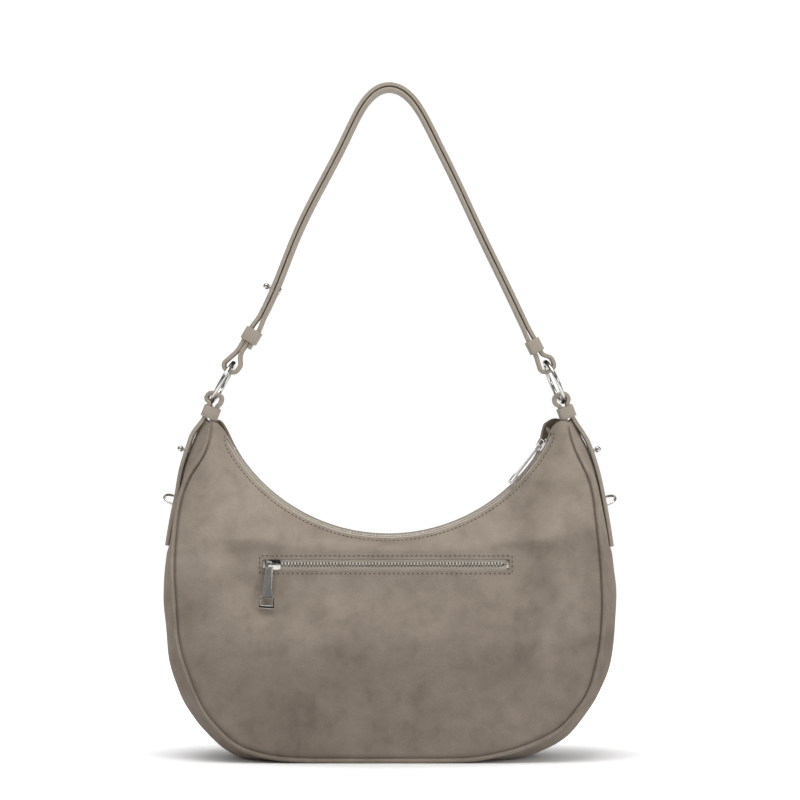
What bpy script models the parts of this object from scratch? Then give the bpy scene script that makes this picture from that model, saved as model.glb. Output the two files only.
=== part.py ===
# Crescent shoulder bag in suede: shell panels, piped gusset, curved top zip, back pocket zip,
# leather tabs, rings and a doubled belt strap. Metres, +Z up, X to the wearer's right, the
# zip pocket faces -Y. The origin is the middle of the flat base.
import math

import bmesh
import bpy
from mathutils import Matrix, Vector
from mathutils.bvhtree import BVHTree

mm = 0.001

# Body
seam_half_width = 170 * mm
gusset_crown = 8 * mm
gusset_half_width = seam_half_width + gusset_crown
horn_height = 266 * mm
base_half_depth = 38 * mm
horn_half_depth = 13.5 * mm
depth_fall_power = 2.2
belly_crown = 12 * mm
side_crown = 7 * mm
horn_left_rise = 3.0 * mm
horn_right_rise = 5.8 * mm
panel_thickness = 1.8 * mm
gusset_thickness = 1.8 * mm
lining_thickness = 0.6 * mm
seat_gap = 0.3 * mm
sheet_gap = 0.4 * mm
cut_overrun = 4 * mm

# The panel's seam and the gusset's middle line, from the left horn round the base to the right
# horn, as shares of the half width and the horn height
seam_shares = [
    (-0.851, 0.992), (-0.847, 0.965), (-0.875, 0.908), (-0.951, 0.828), (-0.991, 0.737),
    (-1.010, 0.595), (-1.002, 0.477), (-0.977, 0.330), (-0.883, 0.171), (-0.784, 0.089),
    (-0.691, 0.044), (-0.564, 0.0185), (-0.419, 0.0090), (-0.200, 0.0075), (0.050, 0.0075),
    (0.260, 0.0080), (0.411, 0.0140), (0.602, 0.0431), (0.767, 0.0938), (0.860, 0.1560),
    (0.920, 0.218), (0.966, 0.331), (0.982, 0.443), (0.980, 0.537), (0.969, 0.639),
    (0.956, 0.719), (0.944, 0.784), (0.920, 0.841), (0.868, 0.911), (0.838, 0.965),
    (0.828, 1.000),
]
gusset_shares = [
    (-0.836, 0.998), (-0.862, 0.962), (-0.881, 0.930), (-0.907, 0.883), (-0.938, 0.797),
    (-0.962, 0.722), (-0.983, 0.639), (-0.998, 0.564), (-1.003, 0.481), (-0.996, 0.414),
    (-0.977, 0.290), (-0.931, 0.195), (-0.868, 0.123), (-0.806, 0.075), (-0.722, 0.028),
    (-0.620, 0.000), (-0.400, -0.006), (0.000, -0.006), (0.370, -0.006), (0.540, 0.002),
    (0.664, 0.027), (0.783, 0.075), (0.872, 0.147), (0.930, 0.218), (0.967, 0.290),
    (0.986, 0.397), (0.993, 0.489), (0.982, 0.564), (0.966, 0.648), (0.955, 0.695),
    (0.928, 0.792), (0.908, 0.838), (0.876, 0.906), (0.842, 0.953), (0.808, 0.991),
]
gusset_round_power = 2.4
body_steps = 40
panel_low_steps = 5
gusset_steps = 6

# Piping in the side seams, thinned where it runs out at the horns
piping_radius = 1.6 * mm
piping_end_radius = 0.6 * mm
piping_start_share = 0.035
piping_full_share = 0.075

# Mouth and top zip, an arc about one centre so that the slider travels on it
mouth_x = -2.6 * mm
mouth_centre_rise = 53 * mm
mouth_z = horn_height + mouth_centre_rise
mouth_inset = 26.9 * mm
mouth_radius = seam_half_width - mouth_inset
mouth_left_deg = -64.4
mouth_right_deg = 66.3
mouth_lean_deg = 10.0
mouth_half_gap = 8 * mm
mouth_end_rise = 4.5 * mm
mouth_end_share = 0.07
chain_sink = 0.8 * mm
zip_left_deg = -58.0
zip_right_deg = 63.6
slider_rest_deg = 60.0

# Zip chain, alike in both zips
tooth_pitch = 2.54 * mm
chain_half_width = 2.7 * mm
chain_half_height = 1.25 * mm
tooth_root = 1.15 * mm
tooth_reach = 0.75 * mm
tape_thickness = 0.6 * mm
tape_inner = 3.0 * mm
tape_bend = 5.4 * mm
tape_flap_y = 8.4 * mm
tape_flap_depth = 6.5 * mm
tape_knee_y = 6.0 * mm
tape_knee_depth = 1.6 * mm
open_spread = 1.4 * mm
open_length = 7 * mm
open_steps = 5
main_tape_steps = 30
tape_left_end_deg = 3.5
tape_right_end_deg = 1.2
stop_length = 2.6 * mm

# Zip sliders
slider_half_length = 5.6 * mm
slider_wing = 1.1 * mm
slider_flange = 0.95 * mm
slider_nose_share = 0.72
bridge_half_length = 4.0 * mm
bridge_bar = 1.3 * mm
bridge_rise = 4.2 * mm
bridge_corner = 1.5 * mm
bridge_inner_corner = 0.5 * mm
bridge_half_width = 0.9 * mm

# Zip pulls
main_pull_length = 38.6 * mm
pocket_pull_length = 37 * mm
pull_thickness = 1.3 * mm
pull_half_width = 2.9 * mm
pull_end_half_width = 3.6 * mm
stirrup_half_width = 6.2 * mm
stirrup_length = 9.6 * mm
stirrup_bar = 2.4 * mm
stirrup_wall = 1.3 * mm
pull_pin_radius = 0.5 * mm
pull_eye_length = 4.6 * mm
pull_arm = 1.1 * mm
pull_eye_play = 0.45 * mm
pocket_pull_stand_off = 0.2 * mm
main_pull_lift_deg = 8.5
pocket_pull_tilt_deg = 15.0
pocket_pull_swing_deg = 3.0

# Zip pocket in the front panel
pocket_x = -4.1 * mm
pocket_drop = 112 * mm
pocket_z = horn_height - pocket_drop
pocket_half_length = 97.5 * mm
pocket_window_half_height = 4.6 * mm
pocket_depth = 21.5 * mm
pocket_flat_side = 12 * mm
pocket_flat_up = 11 * mm
pocket_flat_down = 9 * mm
pocket_fade_side = 30 * mm
pocket_fade_up = 10 * mm
pocket_fade_down = 60 * mm
pocket_fade_share = 0.05
row_over = 13 * mm
row_under = 13 * mm
pocket_tape_half_height = 7.4 * mm
pouch_side = 3.5 * mm
pouch_half_length = pocket_half_length + pouch_side
pouch_rise = 8.5 * mm
pouch_top = pocket_z + pouch_rise
pouch_fall = 82 * mm
pouch_bottom = pocket_z - pouch_fall
pouch_room = 4.8 * mm
pouch_wall = 0.6 * mm
pouch_column_steps = 8
pouch_row_steps = 7

# Lining
lining_start_share = 0.08
lining_top_depth = 12.5 * mm
lining_steps = 18
lining_gap = 2.0 * mm
lining_gusset_gap = 2.2 * mm
lining_rim_share = 0.94
lining_across_shares = (-0.7, -0.35, 0.0, 0.35, 0.7)
lining_pocket_room = 9.6 * mm
lining_room_fade = 26 * mm
lining_room_margin = 9 * mm

# Rings and the straps that hold them
ring_inset = 38.7 * mm
ring_x = seam_half_width - ring_inset
upper_x = -2.0 * mm
ring_rise = 31.8 * mm
ring_z = horn_height + ring_rise
ring_radius = 17.4 * mm
ring_wire = 1.7 * mm
ring_left_lean_deg = 29.0
ring_right_lean_deg = 24.0

# Side tabs that hold the rings
tab_ply = 3.2 * mm
tab_half_width = 9 * mm
tab_lean_deg = 22.0
tab_loop_top = 10.8 * mm
tab_loop_left_outer = 7.3 * mm
tab_loop_left_inner = 4.3 * mm
tab_loop_right_outer = 5.4 * mm
tab_loop_right_inner = 5.3 * mm
tab_loop_corner = 3.5 * mm
tab_loop_shoulder = 17.3 * mm
tab_keeper_offset = 3.1 * mm
tab_keeper_start = 21.3 * mm
tab_keeper_length = 9.5 * mm
tab_keeper_lead = 1 * mm
tab_tail = ((39 * mm, 6.5 * mm), (47 * mm, 11 * mm))
tab_free_gap = 1.6 * mm
tab_gap = 0.5 * mm
tab_first_share = 0.01
tab_free_start_share = 0.035
tab_free_end_share = 0.075
tab_last_share = 0.135

# Keepers, loops of leather round the plies
keeper_wall = 1.5 * mm
keeper_length = 10.8 * mm
keeper_lead = 7.6 * mm
keeper_corner = 0.5 * mm

# Strap, one belt doubled from ring to ring
strap_ply = 3.0 * mm
strap_half_width = 10 * mm
strap_rise = 235.6 * mm
strap_shares = [
    (-1.000, 0.0), (-0.910, 0.0815), (-0.802, 0.182), (-0.695, 0.300), (-0.533, 0.5225),
    (-0.333, 0.738), (-0.160, 0.923), (-0.085, 0.977), (0.012, 1.0), (0.108, 0.968),
    (0.196, 0.903), (0.376, 0.711), (0.541, 0.515), (0.693, 0.340), (0.822, 0.190),
    (0.914, 0.0836), (1.000, 0.0),
]
strap_pitch = 3.9 * mm
strap_fine_step = 5.5 * mm
strap_long_step = 24 * mm
strap_fine_end = 70 * mm
strap_apex_reach = 48 * mm
loop_bottom = 9.5 * mm
loop_outer = 7.1 * mm
loop_inner = 4.7 * mm
loop_corner = 4.5 * mm
loop_shoulder = 18.5 * mm
loop_split = 26 * mm
left_stack_pitch = 3.3 * mm
left_keeper_at = 43 * mm
left_merge_at = 66 * mm
left_tip_at = 33 * mm
right_keeper_at = 32.5 * mm
right_keeper_spread = 2.4 * mm
right_merge_at = 60 * mm

# Ball studs and the half loops on the tabs
stud_ball = 2.6 * mm
stud_neck = 1.3 * mm
stud_flange = 2.5 * mm
stud_flange_height = 0.9 * mm
stud_neck_height = 0.8 * mm
screw_radius = 3.2 * mm
screw_height = 1.1 * mm
strap_stud_at = 84 * mm
tab_stud_steps = 1
tab_stud_share = 0.25
half_loop_steps = 3
half_loop_share = 0.25
half_loop_wire = 1.15 * mm
half_loop_half_width = 6.2 * mm
half_loop_reach = 8 * mm
half_loop_tilt_deg = 14.0


def clear_scene():
    for obj in list(bpy.data.objects):
        bpy.data.objects.remove(obj)


def material(name, colour, roughness, metallic=0.0):
    made = bpy.data.materials.new(name)
    made.use_nodes = True
    shader = made.node_tree.nodes["Principled BSDF"]
    shader.inputs["Base Color"].default_value = (*colour, 1.0)
    shader.inputs["Roughness"].default_value = roughness
    shader.inputs["Metallic"].default_value = metallic
    made.diffuse_color = (*colour, 1.0)
    return made


def make_materials():
    return {
        "suede": material("taupe_suede", (0.29, 0.24, 0.20), 0.95),
        "leather": material("taupe_leather", (0.35, 0.31, 0.25), 0.55),
        "lining": material("cotton_lining", (0.20, 0.17, 0.15), 0.9),
        "tape": material("zip_tape", (0.43, 0.38, 0.32), 0.85),
        "nickel": material("polished_nickel", (0.75, 0.75, 0.76), 0.15, 1.0),
    }


# Mesh helpers

def mesh_object(name, bm, mat, smooth=True, origin=None):
    mesh = bpy.data.meshes.new(name)
    if origin is not None:
        bmesh.ops.translate(bm, verts=bm.verts, vec=-Vector(origin))
    bmesh.ops.recalc_face_normals(bm, faces=bm.faces)
    bm.to_mesh(mesh)
    bm.free()
    if smooth:
        mesh.shade_smooth()
        mesh.set_sharp_from_angle(angle=math.radians(40))
    obj = bpy.data.objects.new(name, mesh)
    obj.data.materials.append(mat)
    bpy.context.collection.objects.link(obj)
    if origin is not None:
        obj.location = origin
    return obj


def sheet(name, rows, thickness, mat, inward):
    # One surface of quads given a wall. Its first face looks along -inward.
    bm = bmesh.new()
    grid = [[bm.verts.new(point) for point in row] for row in rows]
    for upper, lower in zip(grid, grid[1:]):
        for a, b, c, d in zip(upper, upper[1:], lower[1:], lower):
            bm.faces.new((a, b, c, d))
    bm.normal_update()
    middle = bm.faces[:][len(bm.faces) // 2]
    if middle.normal.dot(Vector(inward)) > 0:
        bmesh.ops.reverse_faces(bm, faces=bm.faces)
    mesh = bpy.data.meshes.new(name)
    bm.to_mesh(mesh)
    bm.free()
    mesh.shade_smooth()
    obj = bpy.data.objects.new(name, mesh)
    obj.data.materials.append(mat)
    bpy.context.collection.objects.link(obj)
    wall = obj.modifiers.new("wall", "SOLIDIFY")
    wall.thickness = thickness
    wall.offset = -1
    return obj


def loft(bm, sections):
    # Skins a row of closed sections with the same count of points, and caps both ends.
    rings = [[bm.verts.new(point) for point in section] for section in sections]
    bm.faces.new(rings[0])
    bm.faces.new(rings[-1])
    for here, there in zip(rings, rings[1:]):
        for n in range(len(here)):
            m = (n + 1) % len(here)
            bm.faces.new((here[n], here[m], there[m], there[n]))


def prism(bm, outline, place, low, high):
    # A closed outline of (a, b) pairs between two heights, set in space by place(a, b, height).
    loft(bm, [[place(a, b, height) for a, b in outline] for height in (low, high)])


def band(bm, outer, inner, place, low, high):
    # A closed band between two outlines with the same count of points.
    rings = [[bm.verts.new(place(a, b, h)) for a, b in line] for line in (outer, inner) for h in (low, high)]
    out_low, out_high, in_low, in_high = rings
    for n in range(len(outer)):
        m = (n + 1) % len(outer)
        bm.faces.new((out_low[n], out_low[m], out_high[m], out_high[n]))
        bm.faces.new((in_low[n], in_high[n], in_high[m], in_low[m]))
        bm.faces.new((out_low[n], in_low[n], in_low[m], out_low[m]))
        bm.faces.new((out_high[n], out_high[m], in_high[m], in_high[n]))


def ribbon(name, line, half_thickness, half_width, mat, origin=None):
    # A flat strap along a line of (x, z) points, its width along Y.
    sections = []
    for point, normal in zip(line, line_normals(line)):
        near, far = point + normal * half_thickness, point - normal * half_thickness
        sections.append([
            (near.x, -half_width, near.y), (near.x, half_width, near.y),
            (far.x, half_width, far.y), (far.x, -half_width, far.y),
        ])
    bm = bmesh.new()
    loft(bm, sections)
    return mesh_object(name, bm, mat, origin=origin)


def lathe(name, profile, base, axis, mat, steps=12):
    # Turns (radius, height) pairs, from the axis to the axis, about an axis through base.
    turn = Vector((0, 0, 1)).rotation_difference(Vector(axis)).to_matrix().to_4x4()
    place = Matrix.Translation(Vector(base)) @ turn
    bm = bmesh.new()
    ends = [bm.verts.new(place @ Vector((0, 0, profile[n][1]))) for n in (0, -1)]
    rings = []
    for radius, height in profile[1:-1]:
        angles = [math.tau * n / steps for n in range(steps)]
        rings.append([
            bm.verts.new(place @ Vector((radius * math.cos(t), radius * math.sin(t), height)))
            for t in angles
        ])
    for n in range(steps):
        m = (n + 1) % steps
        bm.faces.new((ends[0], rings[0][m], rings[0][n]))
        bm.faces.new((ends[1], rings[-1][n], rings[-1][m]))
        for lower, upper in zip(rings, rings[1:]):
            bm.faces.new((lower[n], lower[m], upper[m], upper[n]))
    return mesh_object(name, bm, mat)


def wire(name, points, radius, mat, radii=None, sides=2):
    curve = bpy.data.curves.new(name, "CURVE")
    curve.dimensions = "3D"
    curve.bevel_depth = radius
    curve.bevel_resolution = sides
    curve.use_fill_caps = True
    line = curve.splines.new("POLY")
    line.points.add(len(points) - 1)
    for n, point in enumerate(points):
        line.points[n].co = (*point, 1.0)
        line.points[n].radius = radii[n] / radius if radii else 1.0
    obj = bpy.data.objects.new(name, curve)
    obj.data.materials.append(mat)
    bpy.context.collection.objects.link(obj)
    return obj


def cutter_of(obj):
    obj.hide_render = True
    obj.display_type = "WIRE"
    return obj


def boolean(obj, other, operation):
    step = obj.modifiers.new(operation.lower(), "BOOLEAN")
    step.operation = operation
    step.solver = "EXACT"
    step.object = cutter_of(other)


def rod(name, base, axis, radius, low, high, mat, steps=12):
    profile = [(0, low), (radius, low), (radius, high), (0, high)]
    return lathe(name, profile, base, axis, mat, steps)


# Curves

def catmull(points, share):
    spans = len(points) - 1
    n = min(int(share * spans), spans - 1)
    t = share * spans - n
    before = points[n - 1] if n > 0 else points[n] * 2 - points[n + 1]
    after = points[n + 2] if n + 2 < len(points) else points[n + 1] * 2 - points[n]
    here, there = points[n], points[n + 1]
    return 0.5 * (
        2 * here + (there - before) * t
        + (2 * before - 5 * here + 4 * there - after) * t ** 2
        + (3 * here - before - 3 * there + after) * t ** 3
    )


class Curve:
    # A smooth line through points, read by the share of its length
    fineness = 600

    def __init__(self, points):
        controls = [Vector(point) for point in points]
        self.points = [catmull(controls, n / self.fineness) for n in range(self.fineness + 1)]
        self.reached = [0.0]
        for here, there in zip(self.points, self.points[1:]):
            self.reached.append(self.reached[-1] + (there - here).length)
        self.length = self.reached[-1]

    def at(self, share):
        target = min(max(share, 0.0), 1.0) * self.length
        low, high = 0, len(self.reached) - 1
        while high - low > 1:
            middle = (low + high) // 2
            if self.reached[middle] <= target:
                low = middle
            else:
                high = middle
        span = self.reached[high] - self.reached[low]
        return self.points[low].lerp(self.points[high], (target - self.reached[low]) / span)

    def normal(self, share):
        # To the left of the way along it
        step = 1 / self.fineness
        way = self.at(min(share + step, 1.0)) - self.at(max(share - step, 0.0))
        return Vector((-way.y, way.x)).normalized()


def line_normals(line):
    normals = []
    for n in range(len(line)):
        way = line[min(n + 1, len(line) - 1)] - line[max(n - 1, 0)]
        normals.append(Vector((-way.y, way.x)).normalized())
    return normals


def smooth_step(value):
    value = min(max(value, 0.0), 1.0)
    return value * value * (3 - 2 * value)


quarter_turn = math.pi / 2


def corner_arc(centre, radius, quarter, steps):
    # A rounded corner: quarter 0 runs from the way of x to the way of y, and so on round
    return [
        centre + radius * Vector((math.cos(t), math.sin(t)))
        for t in (quarter_turn * (quarter + n / steps) for n in range(steps + 1))
    ]


seam = Curve([(x * seam_half_width, z * horn_height) for x, z in seam_shares])
gusset_line = Curve([(x * gusset_half_width, z * horn_height) for x, z in gusset_shares])
belt = Curve([
    (upper_x + x * ring_x, ring_z + z * strap_rise) for x, z in strap_shares
])


def half_depth(z):
    fall = (max(z, 0.0) / (horn_height * seam_shares[0][1])) ** depth_fall_power
    return base_half_depth - (base_half_depth - horn_half_depth) * min(fall, 1.0)


def piping_size(share):
    edge = min(share, 1 - share)
    grow = smooth_step((edge - piping_start_share) / (piping_full_share - piping_start_share))
    return piping_end_radius + (piping_radius - piping_end_radius) * grow


def body_shares():
    # Even steps round the bag, with one more near each horn
    even = [n / body_steps for n in range(body_steps + 1)]
    return [even[0], even[1] / 2, *even[1:-1], 1 - even[1] / 2, even[-1]]


# Shell

def mouth_point(share, side):
    # The mouth leans to the front, so the edge of the front panel, side -1, lies lower
    angle = math.radians(mouth_left_deg + (mouth_right_deg - mouth_left_deg) * share)
    edge = min(share, 1 - share)
    lift = mouth_end_rise * (1 - smooth_step(edge / mouth_end_share))
    radius = mouth_radius - lift - side * mouth_half_gap * math.sin(math.radians(mouth_lean_deg))
    return Vector((mouth_x + radius * math.sin(angle), mouth_z - radius * math.cos(angle)))


def panel_edge_point(share, stand_off):
    # The panel's edge stands off from the piping's centre by stand_off, inside the seam.
    return seam.at(share) + seam.normal(share) * stand_off


def pocket_zone(x, z, u):
    side = (abs(x - pocket_x) - pocket_half_length - pocket_flat_side) / pocket_fade_side
    over = (z - pocket_z - pocket_flat_up) / pocket_fade_up
    under = (pocket_z - pocket_flat_down - z) / pocket_fade_down
    inside = (1 - smooth_step(side)) * (1 - smooth_step(over)) * (1 - smooth_step(under))
    return inside * smooth_step(u / pocket_fade_share)


def panel_point(share, u, side, stand_off):
    # u runs from the mouth, 0, to the side seam, 1. Returns x, depth and z.
    u = min(max(u, 0.0), 1.0)
    top = mouth_point(share, side)
    low = panel_edge_point(share, stand_off)
    flat = top.lerp(low, u)
    edge = min(share, 1 - share)
    rise = horn_left_rise if share < 0.5 else horn_right_rise
    flat.y += rise * math.sin(math.pi * u) * (1 - smooth_step(edge / mouth_end_share))
    full = (low - top).length / (mouth_z - mouth_radius)
    crown = (side_crown + (belly_crown - side_crown) * math.sin(math.pi * share)) * min(full, 1.0)
    seam_depth = half_depth(low.y)
    edge_depth = mouth_half_gap * math.cos(math.radians(mouth_lean_deg))
    depth = edge_depth + (seam_depth - edge_depth) * math.sin(math.pi / 2 * u) ** 0.8
    depth += crown * math.sin(math.pi * u) ** 1.3
    if side < 0:
        depth += (pocket_depth - depth) * pocket_zone(flat.x, flat.y, u)
    return flat.x, depth, flat.y


def panel_rows(share):
    # Shares from the mouth down to the seam, gathered where the ruling crosses the pocket zip
    top, low = mouth_point(share, -1).y, seam.at(share).y
    span = max(top - low, row_over)
    over = min(max((top - pocket_z - row_over) / span, 0.045), 0.40)
    under = min(max((top - pocket_z + row_under) / span, over + 0.10), 0.58)
    steps = [0.0, over / 2, over]
    steps += [over + (under - over) * n / 3 for n in (1, 2, 3)]
    steps += [under + (1 - under) * (n + 1) / panel_low_steps for n in range(panel_low_steps)]
    return steps


def panel(name, side, mat):
    rows = []
    for share in body_shares():
        stand_off = piping_size(share) + seat_gap
        row = [panel_point(share, u, side, stand_off) for u in panel_rows(share)]
        rows.append([Vector((x, side * depth, z)) for x, depth, z in row])
    return sheet(name, rows, panel_thickness, mat, inward=(0, -side, 0))


def gusset_point(share, v):
    # v runs across the gusset, from one seam, -1, to the other, 1.
    edge, crest = seam.at(share), gusset_line.at(share)
    bulge = 1 - min(abs(v) / gusset_rim(share), 1.0) ** gusset_round_power
    flat = edge.lerp(crest, bulge)
    return Vector((flat.x, v * half_depth(edge.y), max(flat.y, 0.0)))


def gusset_rim(share):
    # How near the gusset's edge comes to the seam, as a share of its half width
    clear = panel_thickness + seat_gap * 1.5
    return 1 - clear / half_depth(seam.at(share).y)


def gusset(mat):
    rows = []
    for share in body_shares():
        rim = gusset_rim(share)
        across = [rim * math.sin(math.pi * (n / gusset_steps - 0.5)) for n in range(gusset_steps + 1)]
        rows.append([gusset_point(share, v) for v in across])
    return sheet("gusset", rows, gusset_thickness, mat, inward=(0, 0, 1))


def piping(name, side, mat):
    shares = [n / body_steps for n in range(body_steps + 1)]
    shares = [share for share in shares if piping_start_share <= min(share, 1 - share) + 1e-9]
    points, radii = [], []
    for share in shares:
        at = seam.at(share)
        points.append(Vector((at.x, side * half_depth(at.y), at.y)))
        radii.append(piping_size(share))
    return wire(name, points, piping_radius, mat, radii=radii, sides=1)


# Lining, one bag inside the shell: front wall, gusset wall and back wall in one sheet

def pocket_room(x, z):
    side = (abs(x - pocket_x) - pouch_half_length - lining_room_margin) / lining_room_fade
    over = (z - pouch_top) / lining_room_fade
    under = (pouch_bottom - lining_room_margin - z) / lining_room_fade
    inside = (1 - smooth_step(side)) * (1 - smooth_step(over)) * (1 - smooth_step(under))
    return lining_pocket_room * inside


def lining_row(share):
    inset = panel_thickness + sheet_gap
    top, low = mouth_point(share, 0), seam.at(share)
    first = min(lining_top_depth / (low - top).length, lining_rim_share / 2)
    steps = panel_rows(share)[3:-1]
    steps = [max(first, steps[0] - (steps[1] - steps[0])), *steps, lining_rim_share]
    walls = []
    for side in (-1, 1):
        wall = []
        for u in steps:
            x, depth, z = panel_point(share, u, side, inset)
            room = pocket_room(x, z) if side < 0 else 0.0
            wall.append(Vector((x, side * (depth - inset - room - lining_gap), z)))
        walls.append(wall)
    inner = gusset_thickness + lining_gusset_gap
    normal = seam.normal(share)
    under = []
    for v in lining_across_shares:
        at = gusset_point(share, v)
        under.append(Vector((at.x + normal.x * inner, at.y, at.z + normal.y * inner)))
    return walls[0] + under + walls[1][::-1]


def lining(mat):
    shares = [
        lining_start_share + (1 - 2 * lining_start_share) * n / lining_steps
        for n in range(lining_steps + 1)
    ]
    rows = [lining_row(share) for share in shares]
    return sheet("lining", rows, lining_thickness, mat, inward=(0, 1, 0))


# Zips. A chain is described by place(along, across, height), with height out of the bag.

def main_zip_place(along, across, height):
    angle, lean = along / (mouth_radius + chain_sink), math.radians(mouth_lean_deg)
    radius = mouth_radius + chain_sink - height * math.cos(lean) - across * math.sin(lean)
    y = across * math.cos(lean) - height * math.sin(lean)
    return Vector((mouth_x + radius * math.sin(angle), y, mouth_z - radius * math.cos(angle)))


def main_zip_along(degrees):
    return math.radians(degrees) * (mouth_radius + chain_sink)


def pocket_chain_depth():
    return pocket_depth - panel_thickness - sheet_gap - tape_thickness / 2


def pocket_zip_place(along, across, height):
    return Vector((pocket_x + along, -(pocket_chain_depth() + height), pocket_z + across))


def tooth_row(name, side, start, end, place, mat, spread=None, shift=0.0):
    # A row of pointed teeth on their bead, shift pitches along from the other row
    count = int((end - start) / tooth_pitch)

    def vert(along, across, height):
        parted = spread(along) if spread else 0.0
        return bm.verts.new(place(along, side * (across + parted), height))

    bm = bmesh.new()
    layers = []
    for height in (-chain_half_height, chain_half_height):
        outer, inner = [], []
        for n in range(count + 1):
            along = start + (n + shift) * tooth_pitch
            outer.append(vert(along, chain_half_width, height))
            inner.append(vert(along, tooth_root, height))
            if n < count:
                inner.append(vert(along + tooth_pitch / 2, -tooth_reach, height))
        layers.append((outer, inner))
        for n in range(count):
            bm.faces.new((outer[n], *inner[2 * n:2 * n + 3], outer[n + 1]))
    low, high = layers
    for one, other in zip(low, high):
        for n in range(len(one) - 1):
            bm.faces.new((one[n], one[n + 1], other[n + 1], other[n]))
    for end_at in (0, -1):
        bm.faces.new((low[0][end_at], low[1][end_at], high[1][end_at], high[0][end_at]))
    return mesh_object(name, bm, mat, smooth=False)


def zip_stop(name, across_low, across_high, start, place, mat):
    bm = bmesh.new()
    tall = chain_half_height + seat_gap
    outline = [
        (start, across_low), (start + stop_length, across_low),
        (start + stop_length, across_high), (start, across_high),
    ]
    prism(bm, outline, place, -tall, tall)
    return mesh_object(name, bm, mat, smooth=False)


def slider_section(half_outside, along, place):
    # A wing over the chain with a flange down each side to the tape
    low, roof = tape_thickness / 2 + seat_gap, chain_half_height + seat_gap
    half_inside = chain_half_width + seat_gap
    outline = [
        (half_outside, roof + slider_wing), (half_outside, low), (half_inside, low),
        (half_inside, roof), (-half_inside, roof), (-half_inside, low), (-half_outside, low),
        (-half_outside, roof + slider_wing),
    ]
    return [place(along, across, height) for across, height in outline]


def slider(name, rest, mat, origin, under=False):
    # The upper wing carries the bridge for the pull. The nose looks to the closed end.
    def place(along, across, height):
        return rest(along, across, -height if under else height)

    full = chain_half_width + seat_gap + slider_flange
    narrow = full - slider_flange * slider_nose_share
    stations = [
        (-slider_half_length, narrow), (-slider_half_length * slider_nose_share, full),
        (slider_half_length, full),
    ]
    bm = bmesh.new()
    loft(bm, [slider_section(half, along, place) for along, half in stations])
    body = mesh_object(name, bm, mat, smooth=False, origin=origin)
    if not under:
        top = chain_half_height + seat_gap + slider_wing
        bm = bmesh.new()
        band(
            bm, *bridge_outline(), lambda along, height, across: place(along, across, top + height),
            -bridge_half_width, bridge_half_width,
        )
        boolean(body, mesh_object(f"{name}_bridge", bm, mat, origin=origin), "UNION")
    return body


def bridge_outline():
    # The bridge as a closed loop seen from the side, its foot sunk into the wing
    foot = slider_wing / 2
    outer, inner = [], []
    for line, grow in ((outer, 0.0), (inner, bridge_bar)):
        low, high, half = -foot + grow / 2, bridge_rise - grow, bridge_half_length - grow
        corner = bridge_inner_corner if grow else bridge_corner
        line += [Vector((-half, low)), Vector((half, low))]
        line += corner_arc(Vector((half - corner, high - corner)), corner, 0, 3)
        line += corner_arc(Vector((-half + corner, high - corner)), corner, 1, 3)
    return outer, inner


def pull_outline(length, side):
    # Half of the pull from its eye to its stirrup, along its length
    neck = pull_eye_length + pull_arm
    body = length - stirrup_length
    return [
        (-pull_pin_radius, side * (bridge_half_width + seat_gap + pull_arm)),
        (neck, side * pull_half_width), (body, side * pull_end_half_width),
        (body + stirrup_wall / 2, side * stirrup_half_width),
        (length, side * stirrup_half_width),
    ]


def pull(name, length, place, mat, origin):
    # A tapered plate with an eye at one end and a stirrup at the other
    bm = bmesh.new()
    outline = pull_outline(length, 1) + pull_outline(length, -1)[::-1]
    prism(bm, outline, place, -pull_thickness / 2, pull_thickness / 2)
    body = mesh_object(name, bm, mat, smooth=False, origin=origin)
    start = length - stirrup_length + stirrup_wall
    end = length - stirrup_bar
    eye_half_width = bridge_half_width + seat_gap
    wide = stirrup_half_width - stirrup_wall
    windows = [
        [(pull_pin_radius, -eye_half_width), (pull_eye_length, -eye_half_width),
         (pull_eye_length, eye_half_width), (pull_pin_radius, eye_half_width)],
        [(start, -wide), (end, -wide), (end, wide), (start, wide)],
    ]
    for n, window in enumerate(windows):
        bm = bmesh.new()
        prism(bm, window, place, -pull_thickness, pull_thickness)
        boolean(body, mesh_object(f"{name}_window_{n}", bm, mat, origin=origin), "DIFFERENCE")
    return body


def main_zip(mats):
    start, end = main_zip_along(zip_left_deg), main_zip_along(zip_right_deg)
    rest_at = main_zip_along(slider_rest_deg)
    opens_at = rest_at + slider_half_length

    def spread(along):
        return open_spread * smooth_step((along - opens_at) / open_length)

    for side, name in ((-1, "front"), (1, "back")):
        shift = 0.0 if side < 0 else 0.5
        tooth_row(f"main_teeth_{name}", side, start, end, main_zip_place, mats["nickel"], spread, shift)
        main_tape(f"main_tape_{name}", side, spread, mats["tape"])
        parted = spread(end + tooth_pitch)
        low, high = parted + seat_gap, parted + chain_half_width
        across = (low, high) if side > 0 else (-high, -low)
        zip_stop(f"main_top_stop_{name}", *across, end + tooth_pitch, main_zip_place, mats["nickel"])
    bottom = start - stop_length - seat_gap
    zip_stop("main_bottom_stop", -chain_half_width, chain_half_width, bottom, main_zip_place, mats["nickel"])

    centre = (mouth_x, 0, mouth_z)

    def on_chain(along, across, height):
        angle = math.radians(slider_rest_deg)
        way = Vector((math.cos(angle), 0, math.sin(angle)))
        return main_zip_place(rest_at, across, height) + way * along

    slider("main_slider", on_chain, mats["nickel"], centre)
    slider("main_slider_lower_wing", on_chain, mats["nickel"], centre, under=True)
    pin = main_pull_pin(on_chain)
    lift = math.radians(main_pull_lift_deg)

    def on_pull(along, across, height):
        back = math.cos(lift) * along + math.sin(lift) * height
        out = math.sin(lift) * along - math.cos(lift) * height
        return pin + on_chain(-back, across, out) - on_chain(0, 0, 0)

    pull("main_pull", main_pull_length, on_pull, mats["nickel"], pin)


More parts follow.
